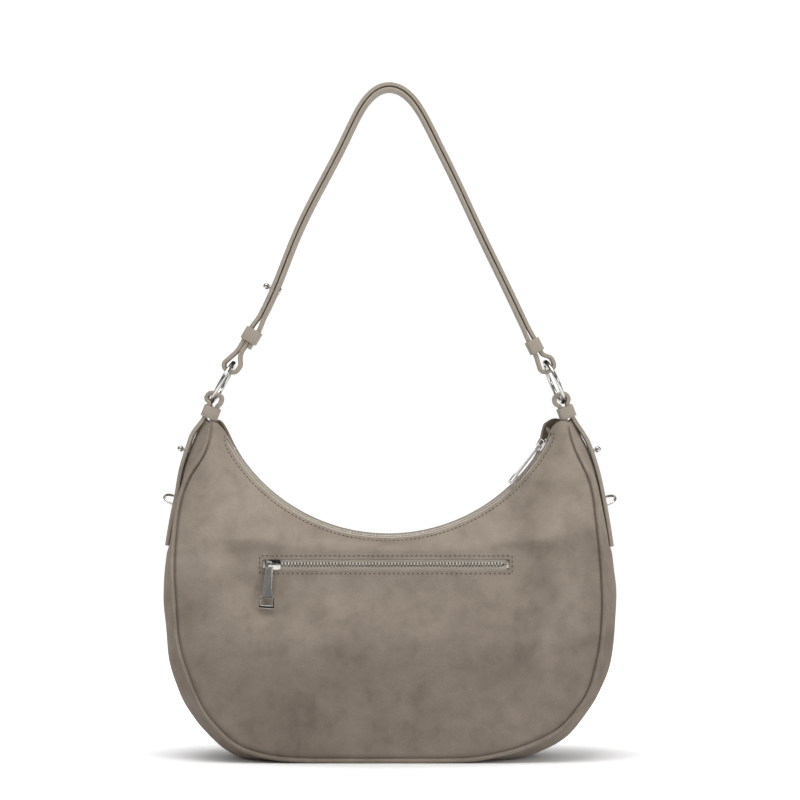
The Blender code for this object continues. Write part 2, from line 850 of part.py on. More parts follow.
def bridge_hole_middle():
    # Height of the bridge's hole over the chain's middle
    return chain_half_height + seat_gap + slider_wing + (bridge_rise - bridge_bar) / 2


def main_pull_pin(on_chain):
    along = -bridge_half_length + bridge_bar + pull_pin_radius + pull_eye_play
    return on_chain(along, 0, bridge_hole_middle())


def main_tape(name, side, spread, mat):
    first = main_zip_along(mouth_left_deg + tape_left_end_deg)
    opens = main_zip_along(slider_rest_deg) + slider_half_length
    last = main_zip_along(mouth_right_deg - tape_right_end_deg)
    stations = [first + (opens - first) * n / main_tape_steps for n in range(main_tape_steps)]
    stations += [opens + (last - opens) * n / open_steps for n in range(open_steps + 1)]
    rows = []
    for along in stations:
        across = [
            (tape_inner + spread(along), 0), (tape_bend, 0),
            (tape_knee_y, -tape_knee_depth), (tape_flap_y, -tape_flap_depth),
        ]
        rows.append([
            main_zip_place(along, side * y, depth + tape_thickness / 2) for y, depth in across
        ])
    return sheet(name, rows, tape_thickness, mat, inward=(0, 0, -1))


def pocket_tape(name, side, mat):
    outline = [
        (-pocket_half_length - stop_length, side * tape_inner),
        (pocket_half_length + stop_length, side * tape_inner),
        (pocket_half_length + stop_length, side * pocket_tape_half_height),
        (-pocket_half_length - stop_length, side * pocket_tape_half_height),
    ]
    bm = bmesh.new()
    prism(bm, outline, pocket_zip_place, -tape_thickness / 2, tape_thickness / 2)
    return mesh_object(name, bm, mat, smooth=False)


def pocket_zip(mats):
    half = pocket_half_length - stop_length - 2 * seat_gap
    row_end = half - tooth_pitch / 2
    for side, name in ((-1, "lower"), (1, "upper")):
        shift = 0.0 if side < 0 else 0.5
        tooth_row(f"pocket_teeth_{name}", side, -half, row_end, pocket_zip_place, mats["nickel"], None, shift)
        pocket_tape(f"pocket_tape_{name}", side, mats["tape"])
    end_stop = half + seat_gap
    closed_stop = -half - stop_length - seat_gap
    for name, at in (("pocket_open_end_stop", end_stop), ("pocket_closed_end_stop", closed_stop)):
        zip_stop(name, -chain_half_width, chain_half_width, at, pocket_zip_place, mats["nickel"])

    rest_at = seat_gap - half + slider_half_length
    origin = pocket_zip_place(rest_at, 0, 0)

    def on_chain(along, across, height):
        # The nose looks to the closed end, on the left
        return pocket_zip_place(rest_at - along, across, height)

    slider("pocket_slider", on_chain, mats["nickel"], origin)
    slider("pocket_slider_lower_wing", on_chain, mats["nickel"], origin, under=True)
    out_by = bridge_hole_middle() + pocket_pull_stand_off
    leg = on_chain(bridge_half_length - bridge_bar / 2, 0, out_by)
    tilt, swing = math.radians(pocket_pull_tilt_deg), math.radians(pocket_pull_swing_deg)

    def on_pull(along, across, height):
        # Hangs from the bridge's left leg, the plate to the front, its foot out from the panel
        down = math.cos(tilt) * along + math.sin(tilt) * height
        out = math.sin(tilt) * along - math.cos(tilt) * height
        x = math.sin(swing) * -down + math.cos(swing) * across
        z = -math.cos(swing) * down - math.sin(swing) * across
        return leg + Vector((x, -out, z))

    raised = bridge_half_width + 2 * seat_gap + pull_pin_radius

    def hung(along, across, height):
        return on_pull(along - raised, across, height)

    pull("pocket_pull", pocket_pull_length, hung, mats["nickel"], leg)


# The pocket's pouch, between the front panel and the lining

def panel_probe():
    # The inner face of the front panel as a surface to measure from
    rows = []
    for share in body_shares():
        stand_off = piping_size(share) + seat_gap
        rows.append([panel_point(share, u, -1, stand_off) for u in panel_rows(share)])
    points = [Vector((x, -depth, z)) for row in rows for x, depth, z in row]
    width = len(rows[0])
    faces = [
        (r * width + c, r * width + c + 1, (r + 1) * width + c + 1, (r + 1) * width + c)
        for r in range(len(rows) - 1) for c in range(width - 1)
    ]
    return BVHTree.FromPolygons(points, faces)


def pouch(mats):
    tree = panel_probe()
    far = Vector((0, -base_half_depth * 3, 0))
    behind = panel_thickness + sheet_gap

    def slab(name, x_half, low, high, front, back):
        columns, rows = pouch_column_steps, pouch_row_steps
        bm = bmesh.new()
        layers = []
        for depth in (front, back):
            grid = []
            for r in range(rows + 1):
                z = low + (high - low) * r / rows
                line = []
                for c in range(columns + 1):
                    x = pocket_x - x_half + 2 * x_half * c / columns
                    hit = tree.ray_cast(far + Vector((x, 0, z)), Vector((0, 1, 0)))[0]
                    if hit is None:
                        hit = tree.find_nearest(far + Vector((x, 0, z)))[0]
                    # behind the tapes the pouch keeps clear of the chain and its slider
                    line.append(bm.verts.new((x, hit.y + behind + depth, z)))
                grid.append(line)
            layers.append(grid)
        for grid in layers:
            for upper, lower in zip(grid, grid[1:]):
                for a, b, c, d in zip(upper, upper[1:], lower[1:], lower):
                    bm.faces.new((a, b, c, d))
        near, away = layers
        rims = [near[0], near[-1], [line[0] for line in near], [line[-1] for line in near]]
        others = [away[0], away[-1], [line[0] for line in away], [line[-1] for line in away]]
        for rim, other in zip(rims, others):
            for n in range(len(rim) - 1):
                bm.faces.new((rim[n], rim[n + 1], other[n + 1], other[n]))
        return mesh_object(name, bm, mats["lining"])

    thick = 2 * pouch_wall + pouch_room
    front = tape_thickness + sheet_gap
    body = slab("pocket_bag", pouch_half_length, pouch_bottom, pouch_top, front, front + thick)
    hollow = slab(
        "pocket_bag_hollow", pouch_half_length - pouch_wall, pouch_bottom + pouch_wall,
        pouch_top - pouch_wall, front + pouch_wall, front + pouch_wall + pouch_room,
    )
    boolean(body, hollow, "DIFFERENCE")
    bm = bmesh.new()
    reach = pocket_half_length + seat_gap
    high = pocket_window_half_height
    window = [(-reach, -high), (reach, -high), (reach, high), (-reach, high)]
    prism(bm, window, pocket_zip_place, -pouch_room, cut_overrun)
    boolean(body, mesh_object("pocket_bag_mouth", bm, mats["lining"]), "DIFFERENCE")
    return body


def pocket_window(front_panel, mat):
    bm = bmesh.new()
    high = pocket_window_half_height
    outline = [
        (-pocket_half_length, -high), (pocket_half_length, -high),
        (pocket_half_length, high), (-pocket_half_length, high),
    ]
    prism(bm, outline, pocket_zip_place, -cut_overrun, 2 * cut_overrun)
    boolean(front_panel, mesh_object("pocket_window", bm, mat), "DIFFERENCE")


# Rings, tabs and keepers

def side_frame(side):
    # Ring centre, and the ways down the tab and across it towards the bag's middle
    lean = math.radians(tab_lean_deg)
    centre = Vector((upper_x + side * ring_x, ring_z))
    down = Vector((side * math.sin(lean), -math.cos(lean)))
    inward = Vector((-side * math.cos(lean), -math.sin(lean)))
    return centre, down, inward


def ring(name, side, mat):
    lean = math.radians(ring_left_lean_deg if side < 0 else ring_right_lean_deg)
    bpy.ops.mesh.primitive_torus_add(
        major_radius=ring_radius, minor_radius=ring_wire, major_segments=24, minor_segments=6,
        location=(upper_x + side * ring_x, 0, ring_z),
        rotation=(0, math.pi / 2 - side * lean, 0),
    )
    obj = bpy.context.object
    obj.name = name
    obj.data.materials.append(mat)
    obj.data.shade_smooth()
    return obj


def loop_line(centre, way, across, bottom, near_half, far_half, corner, shoulder):
    # Round the ring's bar from one ply to the other: way leads off from the ring, and across
    # points to the far ply.
    def at(a, q):
        return centre + way * a + across * q

    points = [at(shoulder, -near_half)]
    for n in range(4):
        t = math.pi / 2 * n / 3
        points.append(at(bottom + corner - corner * math.sin(t), -near_half + corner - corner * math.cos(t)))
    for n in range(4):
        t = math.pi / 2 * (1 - n / 3)
        points.append(at(bottom + corner - corner * math.sin(t), far_half - corner + corner * math.cos(t)))
    points.append(at(shoulder, far_half))
    return points


def outer_tab_line(side):
    points = []
    shares = [share for share in body_shares() if tab_first_share <= share <= tab_last_share]
    for share in shares:
        walk = share if side < 0 else 1 - share
        free = 1 - smooth_step((share - tab_free_start_share) / (tab_free_end_share - tab_free_start_share))
        off = tab_ply / 2 + tab_gap + tab_free_gap * free
        points.append(gusset_line.at(walk) - gusset_line.normal(walk) * off)
    return points


def on_tab(side, station, share):
    # A place on the outer ply between two of its stations, and the way out of the leather
    line = outer_tab_line(side)
    here, there = line[station], line[station + 1]
    out = Vector((-(there.y - here.y), there.x - here.x)).normalized() * side
    return here.lerp(there, share), out


def tab(name, side, mats):
    centre, down, inward = side_frame(side)
    keeper_end = tab_keeper_start + tab_keeper_length
    near, far = (tab_loop_left_outer, tab_loop_left_inner) if side < 0 else (
        tab_loop_right_outer, tab_loop_right_inner)
    loop = loop_line(
        centre, down, inward, tab_loop_top, near, far, tab_loop_corner, tab_loop_shoulder,
    )
    keeper_ends = (tab_keeper_start - tab_keeper_lead, keeper_end + tab_keeper_lead)
    inner_tail = [centre + down * a + inward * tab_keeper_offset for a in keeper_ends]
    inner_tail += [centre + down * a + inward * q for a, q in tab_tail]
    outer_top = [centre + down * a - inward * tab_keeper_offset for a in keeper_ends[::-1]]
    line = outer_tab_line(side)[::-1] + outer_top + loop + inner_tail
    body = ribbon(name, line, tab_ply / 2, tab_half_width, mats["leather"])
    middle, out = on_tab(side, tab_stud_steps, tab_stud_share)
    base, axis = (middle.x, 0, middle.y), (out.x, 0, out.y)
    hole = rod(f"{name}_stud_hole", base, axis, stud_neck + seat_gap, -tab_ply, tab_ply, mats["leather"])
    boolean(body, hole, "DIFFERENCE")
    foot, way = on_tab(side, half_loop_steps, half_loop_share)
    for n, y in enumerate((-half_loop_half_width, half_loop_half_width)):
        hole = rod(
            f"{name}_loop_hole_{n}", (foot.x, y, foot.y), (way.x, 0, way.y),
            half_loop_wire + seat_gap, -tab_ply, tab_ply, mats["leather"],
        )
        boolean(body, hole, "DIFFERENCE")
    return body


def stud(name, face, out, through, mats):
    # Ball head on one face, its post through the plies, and the flat screw on the other face
    axis = (out.x, 0, out.y)
    ball_at = stud_flange_height + stud_neck_height + stud_ball * 0.85
    profile = [(0, -through), (stud_neck, -through), (stud_neck, seat_gap), (stud_flange, seat_gap),
               (stud_flange, stud_flange_height), (stud_neck * 0.8, stud_flange_height)]
    start = math.asin(stud_neck * 0.8 / stud_ball)
    for n in range(6):
        t = start + (math.pi - start) * n / 6
        profile.append((stud_ball * math.sin(t), ball_at - stud_ball * math.cos(t)))
    profile.append((0, ball_at + stud_ball))
    lathe(name, profile, (face.x, 0, face.y), axis, mats["nickel"])
    low = -through - seat_gap
    rim = 0.25
    screw = [(0, low), (stud_neck, low), (screw_radius, low), (screw_radius, low - screw_height * (1 - rim)),
             (screw_radius * (1 - rim), low - screw_height), (0, low - screw_height)]
    lathe(f"{name}_screw", screw, (face.x, 0, face.y), axis, mats["nickel"])


def half_loop(name, side, mats):
    foot, out = on_tab(side, half_loop_steps, half_loop_share)
    tilt = math.radians(half_loop_tilt_deg)
    turned = Vector((
        out.x * math.cos(tilt) - side * out.y * math.sin(tilt),
        out.y * math.cos(tilt) + side * out.x * math.sin(tilt),
    ))
    inset = tab_ply / 2 - seat_gap

    def at(y, reach):
        flat = foot + out * min(reach, tab_ply / 2) + turned * max(reach - tab_ply / 2, 0.0)
        return (flat.x, y, flat.y)

    half, reach = half_loop_half_width, half_loop_reach + tab_ply / 2
    points = [at(-half, -inset), at(-half, tab_ply / 2), at(-half, reach - half)]
    for n in range(1, 8):
        t = math.pi * n / 8
        points.append(at(-half * math.cos(t), reach - half + half * math.sin(t)))
    points += [at(half, reach - half), at(half, tab_ply / 2), at(half, -inset)]
    return wire(name, points, half_loop_wire, mats["nickel"], sides=2)


def keeper(name, middle, way, half_thick, half_width, length, mat):
    across = Vector((-way.y, way.x))

    def place(q, y, a):
        at = middle + across * q + way * a
        return Vector((at.x, y, at.y))

    outlines = []
    for grow in (keeper_wall, 0.0):
        corner = keeper_corner + grow
        q, y = half_thick + grow - corner, half_width + grow - corner
        outline = []
        for quarter, at in enumerate(((q, y), (-q, y), (-q, -y), (q, -y))):
            outline += corner_arc(Vector(at), corner, quarter, 3)
        outlines.append(outline)
    bm = bmesh.new()
    band(bm, *outlines, place, -length / 2, length / 2)
    return mesh_object(name, bm, mat)


# Strap

def belt_at(distance, side):
    # Distance along the belt's middle line from the ring on that side
    share = distance / belt.length
    return belt.at(share) if side < 0 else belt.at(1 - share)


def belt_out(distance, side):
    share = distance / belt.length
    return belt.normal(share if side < 0 else 1 - share)


def blend_steps(distance, stops):
    # Reads (distance, value) stops with smooth steps between them.
    if distance <= stops[0][0]:
        return stops[0][1]
    for (low, first), (high, last) in zip(stops, stops[1:]):
        if distance <= high:
            return first + (last - first) * smooth_step((distance - low) / (high - low))
    return stops[-1][1]


def ply_line(side, start, end, stops):
    # Fine stations where the belt bends, long ones down its legs
    marks = [start, end, strap_fine_end, belt.length / 2 - strap_apex_reach]
    low, high = min(start, end), max(start, end)
    marks = sorted(mark for mark in marks if low <= mark <= high)
    distances = [low]
    for here, there in zip(marks, marks[1:]):
        legs = here >= strap_fine_end and there < belt.length / 2
        steps = max(round((there - here) / (strap_long_step if legs else strap_fine_step)), 1)
        distances += [here + (there - here) * (n + 1) / steps for n in range(steps)]
    if start > end:
        distances.reverse()
    return [belt_at(d, side) + belt_out(d, side) * blend_steps(d, stops) for d in distances]


def strap(mats):
    half = belt.length / 2
    free = strap_pitch / 2
    outer_left = [(loop_shoulder, loop_outer), (loop_split, left_stack_pitch),
                  (left_keeper_at + keeper_length, left_stack_pitch), (left_merge_at, free)]
    turned_back = [(loop_shoulder, -loop_inner), (loop_split, 0.0)]
    outer_right = [(loop_shoulder, loop_outer), (right_keeper_at - keeper_lead, right_keeper_spread),
                   (right_keeper_at + keeper_lead, right_keeper_spread), (right_merge_at, free)]
    inner_right = [(loop_shoulder, -loop_inner), (right_keeper_at - keeper_lead, -right_keeper_spread),
                   (right_keeper_at + keeper_lead, -right_keeper_spread), (right_merge_at, -free)]
    inner_left = [(left_keeper_at + keeper_length, -left_stack_pitch), (left_merge_at, -free)]

    line = ply_line(-1, left_keeper_at + keeper_length * 0.3, loop_shoulder, turned_back)
    line += belt_loop(-1)
    line += ply_line(-1, loop_shoulder, half, outer_left)[1:]
    line += ply_line(1, half, loop_shoulder, outer_right)[1:]
    line += belt_loop(1)
    line += ply_line(1, loop_shoulder, half, inner_right)[1:]
    line += ply_line(-1, half, left_tip_at, inner_left)[1:]
    pivot = (upper_x, 0, ring_z)
    body = ribbon("strap", line, strap_ply / 2, strap_half_width, mats["leather"], origin=pivot)
    middle, out = belt_at(strap_stud_at, -1), belt_out(strap_stud_at, -1)
    through = strap_pitch + strap_ply
    hole = rod(
        "strap_stud_hole", (middle.x, 0, middle.y), (out.x, 0, out.y), stud_neck + seat_gap,
        -through, through, mats["leather"],
    )
    boolean(body, hole, "DIFFERENCE")
    face = middle + out * (through / 2)
    stud("strap_stud", face, out, through, mats)
    for name, at, side, half_thick in (
        ("strap_keeper_left", left_keeper_at, -1, left_stack_pitch + strap_ply / 2 + seat_gap),
        ("strap_keeper_right", right_keeper_at, 1, right_keeper_spread + strap_ply / 2 + seat_gap),
    ):
        out = belt_out(at, side)
        way = Vector((out.y, -out.x))
        keeper(
            name, belt_at(at, side), way, half_thick, strap_half_width + seat_gap, keeper_length,
            mats["leather"],
        )
    return body


def belt_loop(side):
    # The end of the belt round its ring, from the inner ply to the outer on the left, and from
    # the outer to the inner on the right
    centre = belt_at(0.0, side)
    out = belt_out(loop_shoulder, side)
    way = (belt_at(loop_shoulder, side) - centre).normalized()
    near, far, across = (loop_inner, loop_outer, out) if side < 0 else (loop_outer, loop_inner, -out)
    return loop_line(centre, way, across, loop_bottom, near, far, loop_corner, loop_shoulder)[1:-1]


def build():
    clear_scene()
    mats = make_materials()
    front = panel("front_panel", -1, mats["suede"])
    pocket_window(front, mats["suede"])
    panel("back_panel", 1, mats["suede"])
    gusset(mats["suede"])
    piping("piping_front", -1, mats["leather"])
    piping("piping_back", 1, mats["leather"])
    lining(mats["lining"])
    main_zip(mats)
    pocket_zip(mats)
    pouch(mats)
    for side, name in ((-1, "left"), (1, "right")):
        ring(f"ring_{name}", side, mats["nickel"])
        tab(f"side_tab_{name}", side, mats)
        middle, out = on_tab(side, tab_stud_steps, tab_stud_share)
        stud(f"tab_stud_{name}", middle + out * (tab_ply / 2), out, tab_ply, mats)
        half_loop(f"half_loop_{name}", side, mats)
        centre, down, _ = side_frame(side)
        keeper(
            f"tab_keeper_{name}", centre + down * (tab_keeper_start + tab_keeper_length / 2), down,
            tab_keeper_offset + tab_ply / 2 + seat_gap, tab_half_width + seat_gap,
            tab_keeper_length, mats["leather"],
        )
    strap(mats)


build()
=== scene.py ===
import bisect
import math

import bpy
from mathutils import Matrix, Vector, noise


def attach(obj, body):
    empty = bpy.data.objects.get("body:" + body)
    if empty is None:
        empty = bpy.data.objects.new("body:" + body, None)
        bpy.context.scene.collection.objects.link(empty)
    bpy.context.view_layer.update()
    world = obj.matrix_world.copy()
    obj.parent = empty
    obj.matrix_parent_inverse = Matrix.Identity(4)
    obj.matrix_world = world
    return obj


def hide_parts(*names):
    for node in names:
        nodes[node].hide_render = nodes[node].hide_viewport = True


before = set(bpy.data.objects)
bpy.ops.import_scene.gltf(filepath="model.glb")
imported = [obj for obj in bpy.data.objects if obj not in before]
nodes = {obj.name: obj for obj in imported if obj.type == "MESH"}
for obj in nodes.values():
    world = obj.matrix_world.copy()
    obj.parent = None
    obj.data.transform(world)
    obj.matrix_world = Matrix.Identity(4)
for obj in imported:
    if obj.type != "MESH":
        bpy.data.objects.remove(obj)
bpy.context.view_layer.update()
mm = 0.001


# Small helpers

def linear(hexCode):
    # a colour picked on screen, as the shader wants it
    parts = [int(hexCode[n:n + 2], 16) / 255 for n in (1, 3, 5)]
    return tuple(p / 12.92 if p < 0.04045 else ((p + 0.055) / 1.055) ** 2.4 for p in parts) + (1.0,)


def grey(level):
    return (level, level, level, 1.0)


def pickNone():
    if bpy.context.mode != "OBJECT":
        bpy.ops.object.mode_set(mode="OBJECT")
    bpy.ops.object.select_all(action="DESELECT")


def pickOnly(obj):
    pickNone()
    bpy.context.view_layer.objects.active = obj
    obj.select_set(True)


def intoScene(obj):
    bpy.context.scene.collection.objects.link(obj)


def editAll(obj):
    pickOnly(obj)
    bpy.ops.object.mode_set(mode="EDIT")
    bpy.ops.mesh.select_all(action="SELECT")


def endEdit():
    bpy.ops.object.mode_set(mode="OBJECT")


def applyAll(obj):
    pickOnly(obj)
    for modifier in list(obj.modifiers):
        bpy.ops.object.modifier_apply(modifier=modifier.name)


def smoothShade(obj, degrees):
    pickOnly(obj)
    bpy.ops.object.shade_smooth_by_angle(angle=math.radians(degrees))


def roundEdges(obj, width, segments):
    edge = obj.modifiers.new("edge", "BEVEL")
    edge.width = width
    edge.segments = segments
    edge.limit_method = "ANGLE"
    edge.angle_limit = math.radians(30)
    applyAll(obj)


def mappedGrid(name, columns, rows, placeAt):
    # a plain grid whose corners are carried to their place on the piece
    pickNone()
    bpy.ops.mesh.primitive_grid_add(x_subdivisions=columns, y_subdivisions=rows, size=1)
    grid = bpy.context.object
    grid.name = name
    for corner in grid.data.vertices:
        corner.co = placeAt(corner.co.x + 0.5, corner.co.y + 0.5)
    grid.data.update()
    return grid


def tidyMesh(obj, fill=True):
    # merges what meets, fills the ends and turns the faces outwards
    editAll(obj)
    bpy.ops.mesh.remove_doubles(threshold=2e-6)
    if fill:
        bpy.ops.mesh.fill_holes(sides=0)
    bpy.ops.mesh.normals_make_consistent(inside=False)
    endEdit()


def rolledGrid(name, last, around, placeAt, fill=True, edges=None):
    # a grid rolled up: station n along it, mark m round it; edges collects where the edge paint goes
    made = mappedGrid(name, last, around, lambda a, b: placeAt(round(a * last), round(b * around) % around))
    if edges is not None:
        mask = made.data.attributes.new("edgePaint", "FLOAT", "POINT")
        mask.data.foreach_set("value", edges)
    tidyMesh(made, fill)
    return made


def tube(name, points, radii, sides, plane=None):
    # a round cord along points; a bent wire is kept in its own plane
    last = len(points) - 1
    ways = [(points[min(n + 1, last)] - points[max(n - 1, 0)]).normalized() for n in range(last + 1)]
    hint = Vector((0, 1, 0)) if plane is None else plane

    def place(n, m):
        right = hint.cross(ways[n]).normalized()
        up = ways[n].cross(right) if plane is None else plane
        turn = math.tau * m / sides
        return points[n] + (right * math.cos(turn) + up * math.sin(turn)) * radii[n]

    return rolledGrid(name, last, sides, place)


def wallSheet(obj, thickness, inward):
    # one surface given a wall on its inner side
    inward = Vector(inward)
    plainest = max(obj.data.polygons, key=lambda face: abs(face.normal.dot(inward)))
    if plainest.normal.dot(inward) > 0:
        editAll(obj)
        bpy.ops.mesh.flip_normals()
        endEdit()
    wall = obj.modifiers.new("wall", "SOLIDIFY")
    wall.thickness = thickness
    wall.offset = -1
    applyAll(obj)


def dress(obj, material, body, nodeName, degrees=40):
    obj.data.materials.clear()
    obj.data.materials.append(material)
    smoothShade(obj, degrees)
    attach(obj, body)
    if nodeName:
        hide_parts(nodeName)


def joined(name, pieces):
    pickNone()
    for piece in pieces:
        piece.select_set(True)
    bpy.context.view_layer.objects.active = pieces[0]
    bpy.ops.object.join()
    whole = bpy.context.object
    whole.name = name
    whole.data.transform(whole.matrix_world)
    whole.matrix_world = Matrix.Identity(4)
    return whole


def copyOf(master, place):
    twin = master.copy()
    twin.data = master.data.copy()
    twin.data.transform(place)
    intoScene(twin)
    return twin


def axesAt(place, way, over, out):
    return Matrix((
        (way.x, over.x, out.x, place.x), (way.y, over.y, out.y, place.y),
        (way.z, over.z, out.z, place.z), (0, 0, 0, 1)))


def solidCopy(nodeName, name, bevel):
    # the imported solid's own shape, merged, with its edges rounded
    piece = bpy.data.objects.new(name, nodes[nodeName].data.copy())
    intoScene(piece)
    editAll(piece)
    bpy.ops.mesh.remove_doubles(threshold=1e-5)
    bpy.ops.mesh.dissolve_limited(angle_limit=math.radians(1))
    endEdit()
    if bevel:
        roundEdges(piece, bevel, 3)
    return piece


def smoothStep(value):
    value = min(max(value, 0.0), 1.0)
    return value * value * (3 - 2 * value)


def splinePoint(points, share):
    spans = len(points) - 1
    n = min(int(share * spans), spans - 1)
    t = share * spans - n
    before = points[n - 1] if n > 0 else points[n] * 2 - points[n + 1]
    after = points[n + 2] if n + 2 < len(points) else points[n + 1] * 2 - points[n]
    here, there = points[n], points[n + 1]
    return 0.5 * (
        2 * here + (there - before) * t
        + (2 * before - 5 * here + 4 * there - after) * t ** 2
        + (3 * here - before - 3 * there + after) * t ** 3)


class SmoothLine:
    # a curve through points, read by the share of its length
    def __init__(self, points, fineness=600):
        controls = [Vector(point) for point in points]
        self.fineness = fineness
        self.points = [splinePoint(controls, n / fineness) for n in range(fineness + 1)]
        self.reached = [0.0]
        for here, there in zip(self.points, self.points[1:]):
            self.reached.append(self.reached[-1] + (there - here).length)
        self.length = self.reached[-1]

    def at(self, share):
        target = min(max(share, 0.0), 1.0) * self.length
        high = min(bisect.bisect_right(self.reached, target), self.fineness)
        low = high - 1
        span = self.reached[high] - self.reached[low]
        return self.points[low].lerp(self.points[high], (target - self.reached[low]) / span)

    def normal(self, share):
        step = 1 / self.fineness
        way = self.at(min(share + step, 1.0)) - self.at(max(share - step, 0.0))
        return Vector((-way.y, way.x)).normalized()


def roundedLoop(halfLong, halfTall, corner, cornerSteps):
    loop = []
    for sideX, sideZ, start in ((1, 1, 0), (-1, 1, 90), (-1, -1, 180), (1, -1, 270)):
        for n in range(cornerSteps + 1):
            turn = math.radians(start + 90 * n / cornerSteps)
            loop.append(Vector((
                sideX * (halfLong - corner) + corner * math.cos(turn),
                sideZ * (halfTall - corner) + corner * math.sin(turn))))
    return loop


def evenLoop(loop, step):
    # walks a closed loop at even steps
    closed = loop + [loop[0]]
    lengths = [(b - a).length for a, b in zip(closed, closed[1:])]
    total = sum(lengths)
    count = round(total / step)
    marks, reached, index = [], 0.0, 0
    for n in range(count):
        target = total * n / count
        while reached + lengths[index] < target:
            reached += lengths[index]
            index += 1
        share = (target - reached) / lengths[index] if lengths[index] else 0.0
        here, there = closed[index], closed[index + 1]
        marks.append((here.lerp(there, share), (there - here).normalized()))
    return marks


# Camera, at the height of the middle of the photograph, looking level

cameraSetup = {
    "place": (0.007, -2.200, 0.2835),
    "lens": 124.7,
    "sensor": 36.0,
}
cameraData = bpy.data.cameras.new("camera")
cameraData.lens = cameraSetup["lens"]
cameraData.sensor_width = cameraSetup["sensor"]
camera = bpy.data.objects.new("camera", cameraData)
camera.location = cameraSetup["place"]
camera.rotation_euler = (math.pi / 2, 0, 0)
intoScene(camera)
bpy.context.scene.camera = camera
print("camera set")


# Materials

def connect(tree, node, inputs):
    for key, value in inputs.items():
        if isinstance(value, bpy.types.NodeSocket):
            tree.links.new(value, node.inputs[key])
        else:
            node.inputs[key].default_value = value


def addNode(tree, kind, output, inputs={}, stops=(), **settings):
    # one node with its settings, values and links; stops are for a colour ramp
    node = tree.nodes.new(f"ShaderNode{kind}")
    for key, value in settings.items():
        setattr(node, key, value)
    connect(tree, node, inputs)
    if stops:
        elements = node.color_ramp.elements
        elements[0].position, elements[0].color = stops[0]
        elements[1].position, elements[1].color = stops[-1]
        for position, colour in stops[1:-1]:
            elements.new(position).color = colour
    return node.outputs[output]


def newMaterial(name, coordinates="Object"):
    made = bpy.data.materials.new(name)
    made.use_nodes = True
    tree = made.node_tree
    return made, tree, tree.nodes["Principled BSDF"], addNode(tree, "TexCoord", coordinates)


multiply = {"data_type": "RGBA", "blend_type": "MULTIPLY"}

suedeLook = {
    "light": "#A5998D",
    "middle": "#958A7D",
    "dark": "#7F7469",
    "cloud": 15.0,          # patches about 65 mm across, where the nap lies another way
    "smudge": 78.0,         # finger marks about 13 mm
    "smudgeShare": 0.38,
    "nap": 1500.0,          # raised fibre ends, drawn about 0.7 mm
    "napShare": 0.75,
    "low": (0.77, 0.76, 0.76, 1.0),      # painted shade: darker towards the base
    "paintedShadeHeights": (0.13, 0.235),            # between these heights in metres
    "sheen": 0.25,
    "sheenTint": "#CFC4B8",
}


def napSuede():
    # split hide buffed on its flesh side: cloudy patches, soft light at the edges, no gloss
    look = suedeLook
    made, tree, shader, place = newMaterial("buffedTaupeSuede")
    cloud = addNode(tree, "TexNoise", "Fac", {
        "Vector": place, "Scale": look["cloud"], "Detail": 3.0, "Roughness": 0.55, "Distortion": 0.6})
    smudge = addNode(tree, "TexNoise", "Fac", {
        "Vector": place, "Scale": look["smudge"], "Detail": 2.0, "Roughness": 0.5, "Distortion": 0.3})
    nap = addNode(tree, "TexNoise", "Fac", {
        "Vector": place, "Scale": look["nap"], "Detail": 2.0, "Roughness": 0.7})
    stops = [(0.30, linear(look["dark"])), (0.50, linear(look["middle"])), (0.74, linear(look["light"]))]
    base = addNode(tree, "ValToRGB", "Color", {"Fac": cloud}, stops)
    marks = addNode(tree, "ValToRGB", "Color", {"Fac": smudge}, stops)
    colour = addNode(tree, "Mix", 2, {0: look["smudgeShare"], 6: base, 7: marks}, data_type="RGBA")
    fibre = addNode(tree, "ValToRGB", "Color", {"Fac": nap}, [(0.25, grey(0.74)), (0.75, grey(1.16))])
    colour = addNode(tree, "Mix", 2, {0: look["napShare"], 6: colour, 7: fibre}, **multiply)
    # painted shade: the colour darkens towards the base, over a band of height made uneven by the cloud patches
    height = addNode(tree, "SeparateXYZ", "Z", {"Vector": place})
    uneven = addNode(tree, "Math", 0, {0: cloud, 1: 0.10, 2: height}, operation="MULTIPLY_ADD")
    paintedBaseShade = addNode(tree, "ValToRGB", "Color", {"Fac": uneven}, [
        (look["paintedShadeHeights"][0], look["low"]), (look["paintedShadeHeights"][1], grey(1.0))])
    colour = addNode(tree, "Mix", 2, {0: 1.0, 6: colour, 7: paintedBaseShade}, **multiply)
    rough = addNode(tree, "Math", 0, {0: nap, 1: smudge}, operation="ADD")
    bump = addNode(tree, "Bump", "Normal", {"Height": rough, "Strength": 0.35, "Distance": 0.25 * mm})
    connect(tree, shader, {
        "Base Color": colour, "Roughness": 0.95, "Specular IOR Level": 0.2, "Normal": bump,
        "Sheen Weight": look["sheen"], "Sheen Roughness": 0.45, "Sheen Tint": linear(look["sheenTint"])})
    return made


leatherLook = {
    "light": "#A19788",
    "middle": "#918779",
    "dark": "#7B7266",
    "edge": "#A1978A",
    "pebble": 1150.0,       # fine milled grain, cells about 0.9 mm
    "cloud": 40.0,          # slow drift of tone, patches about 25 mm
}


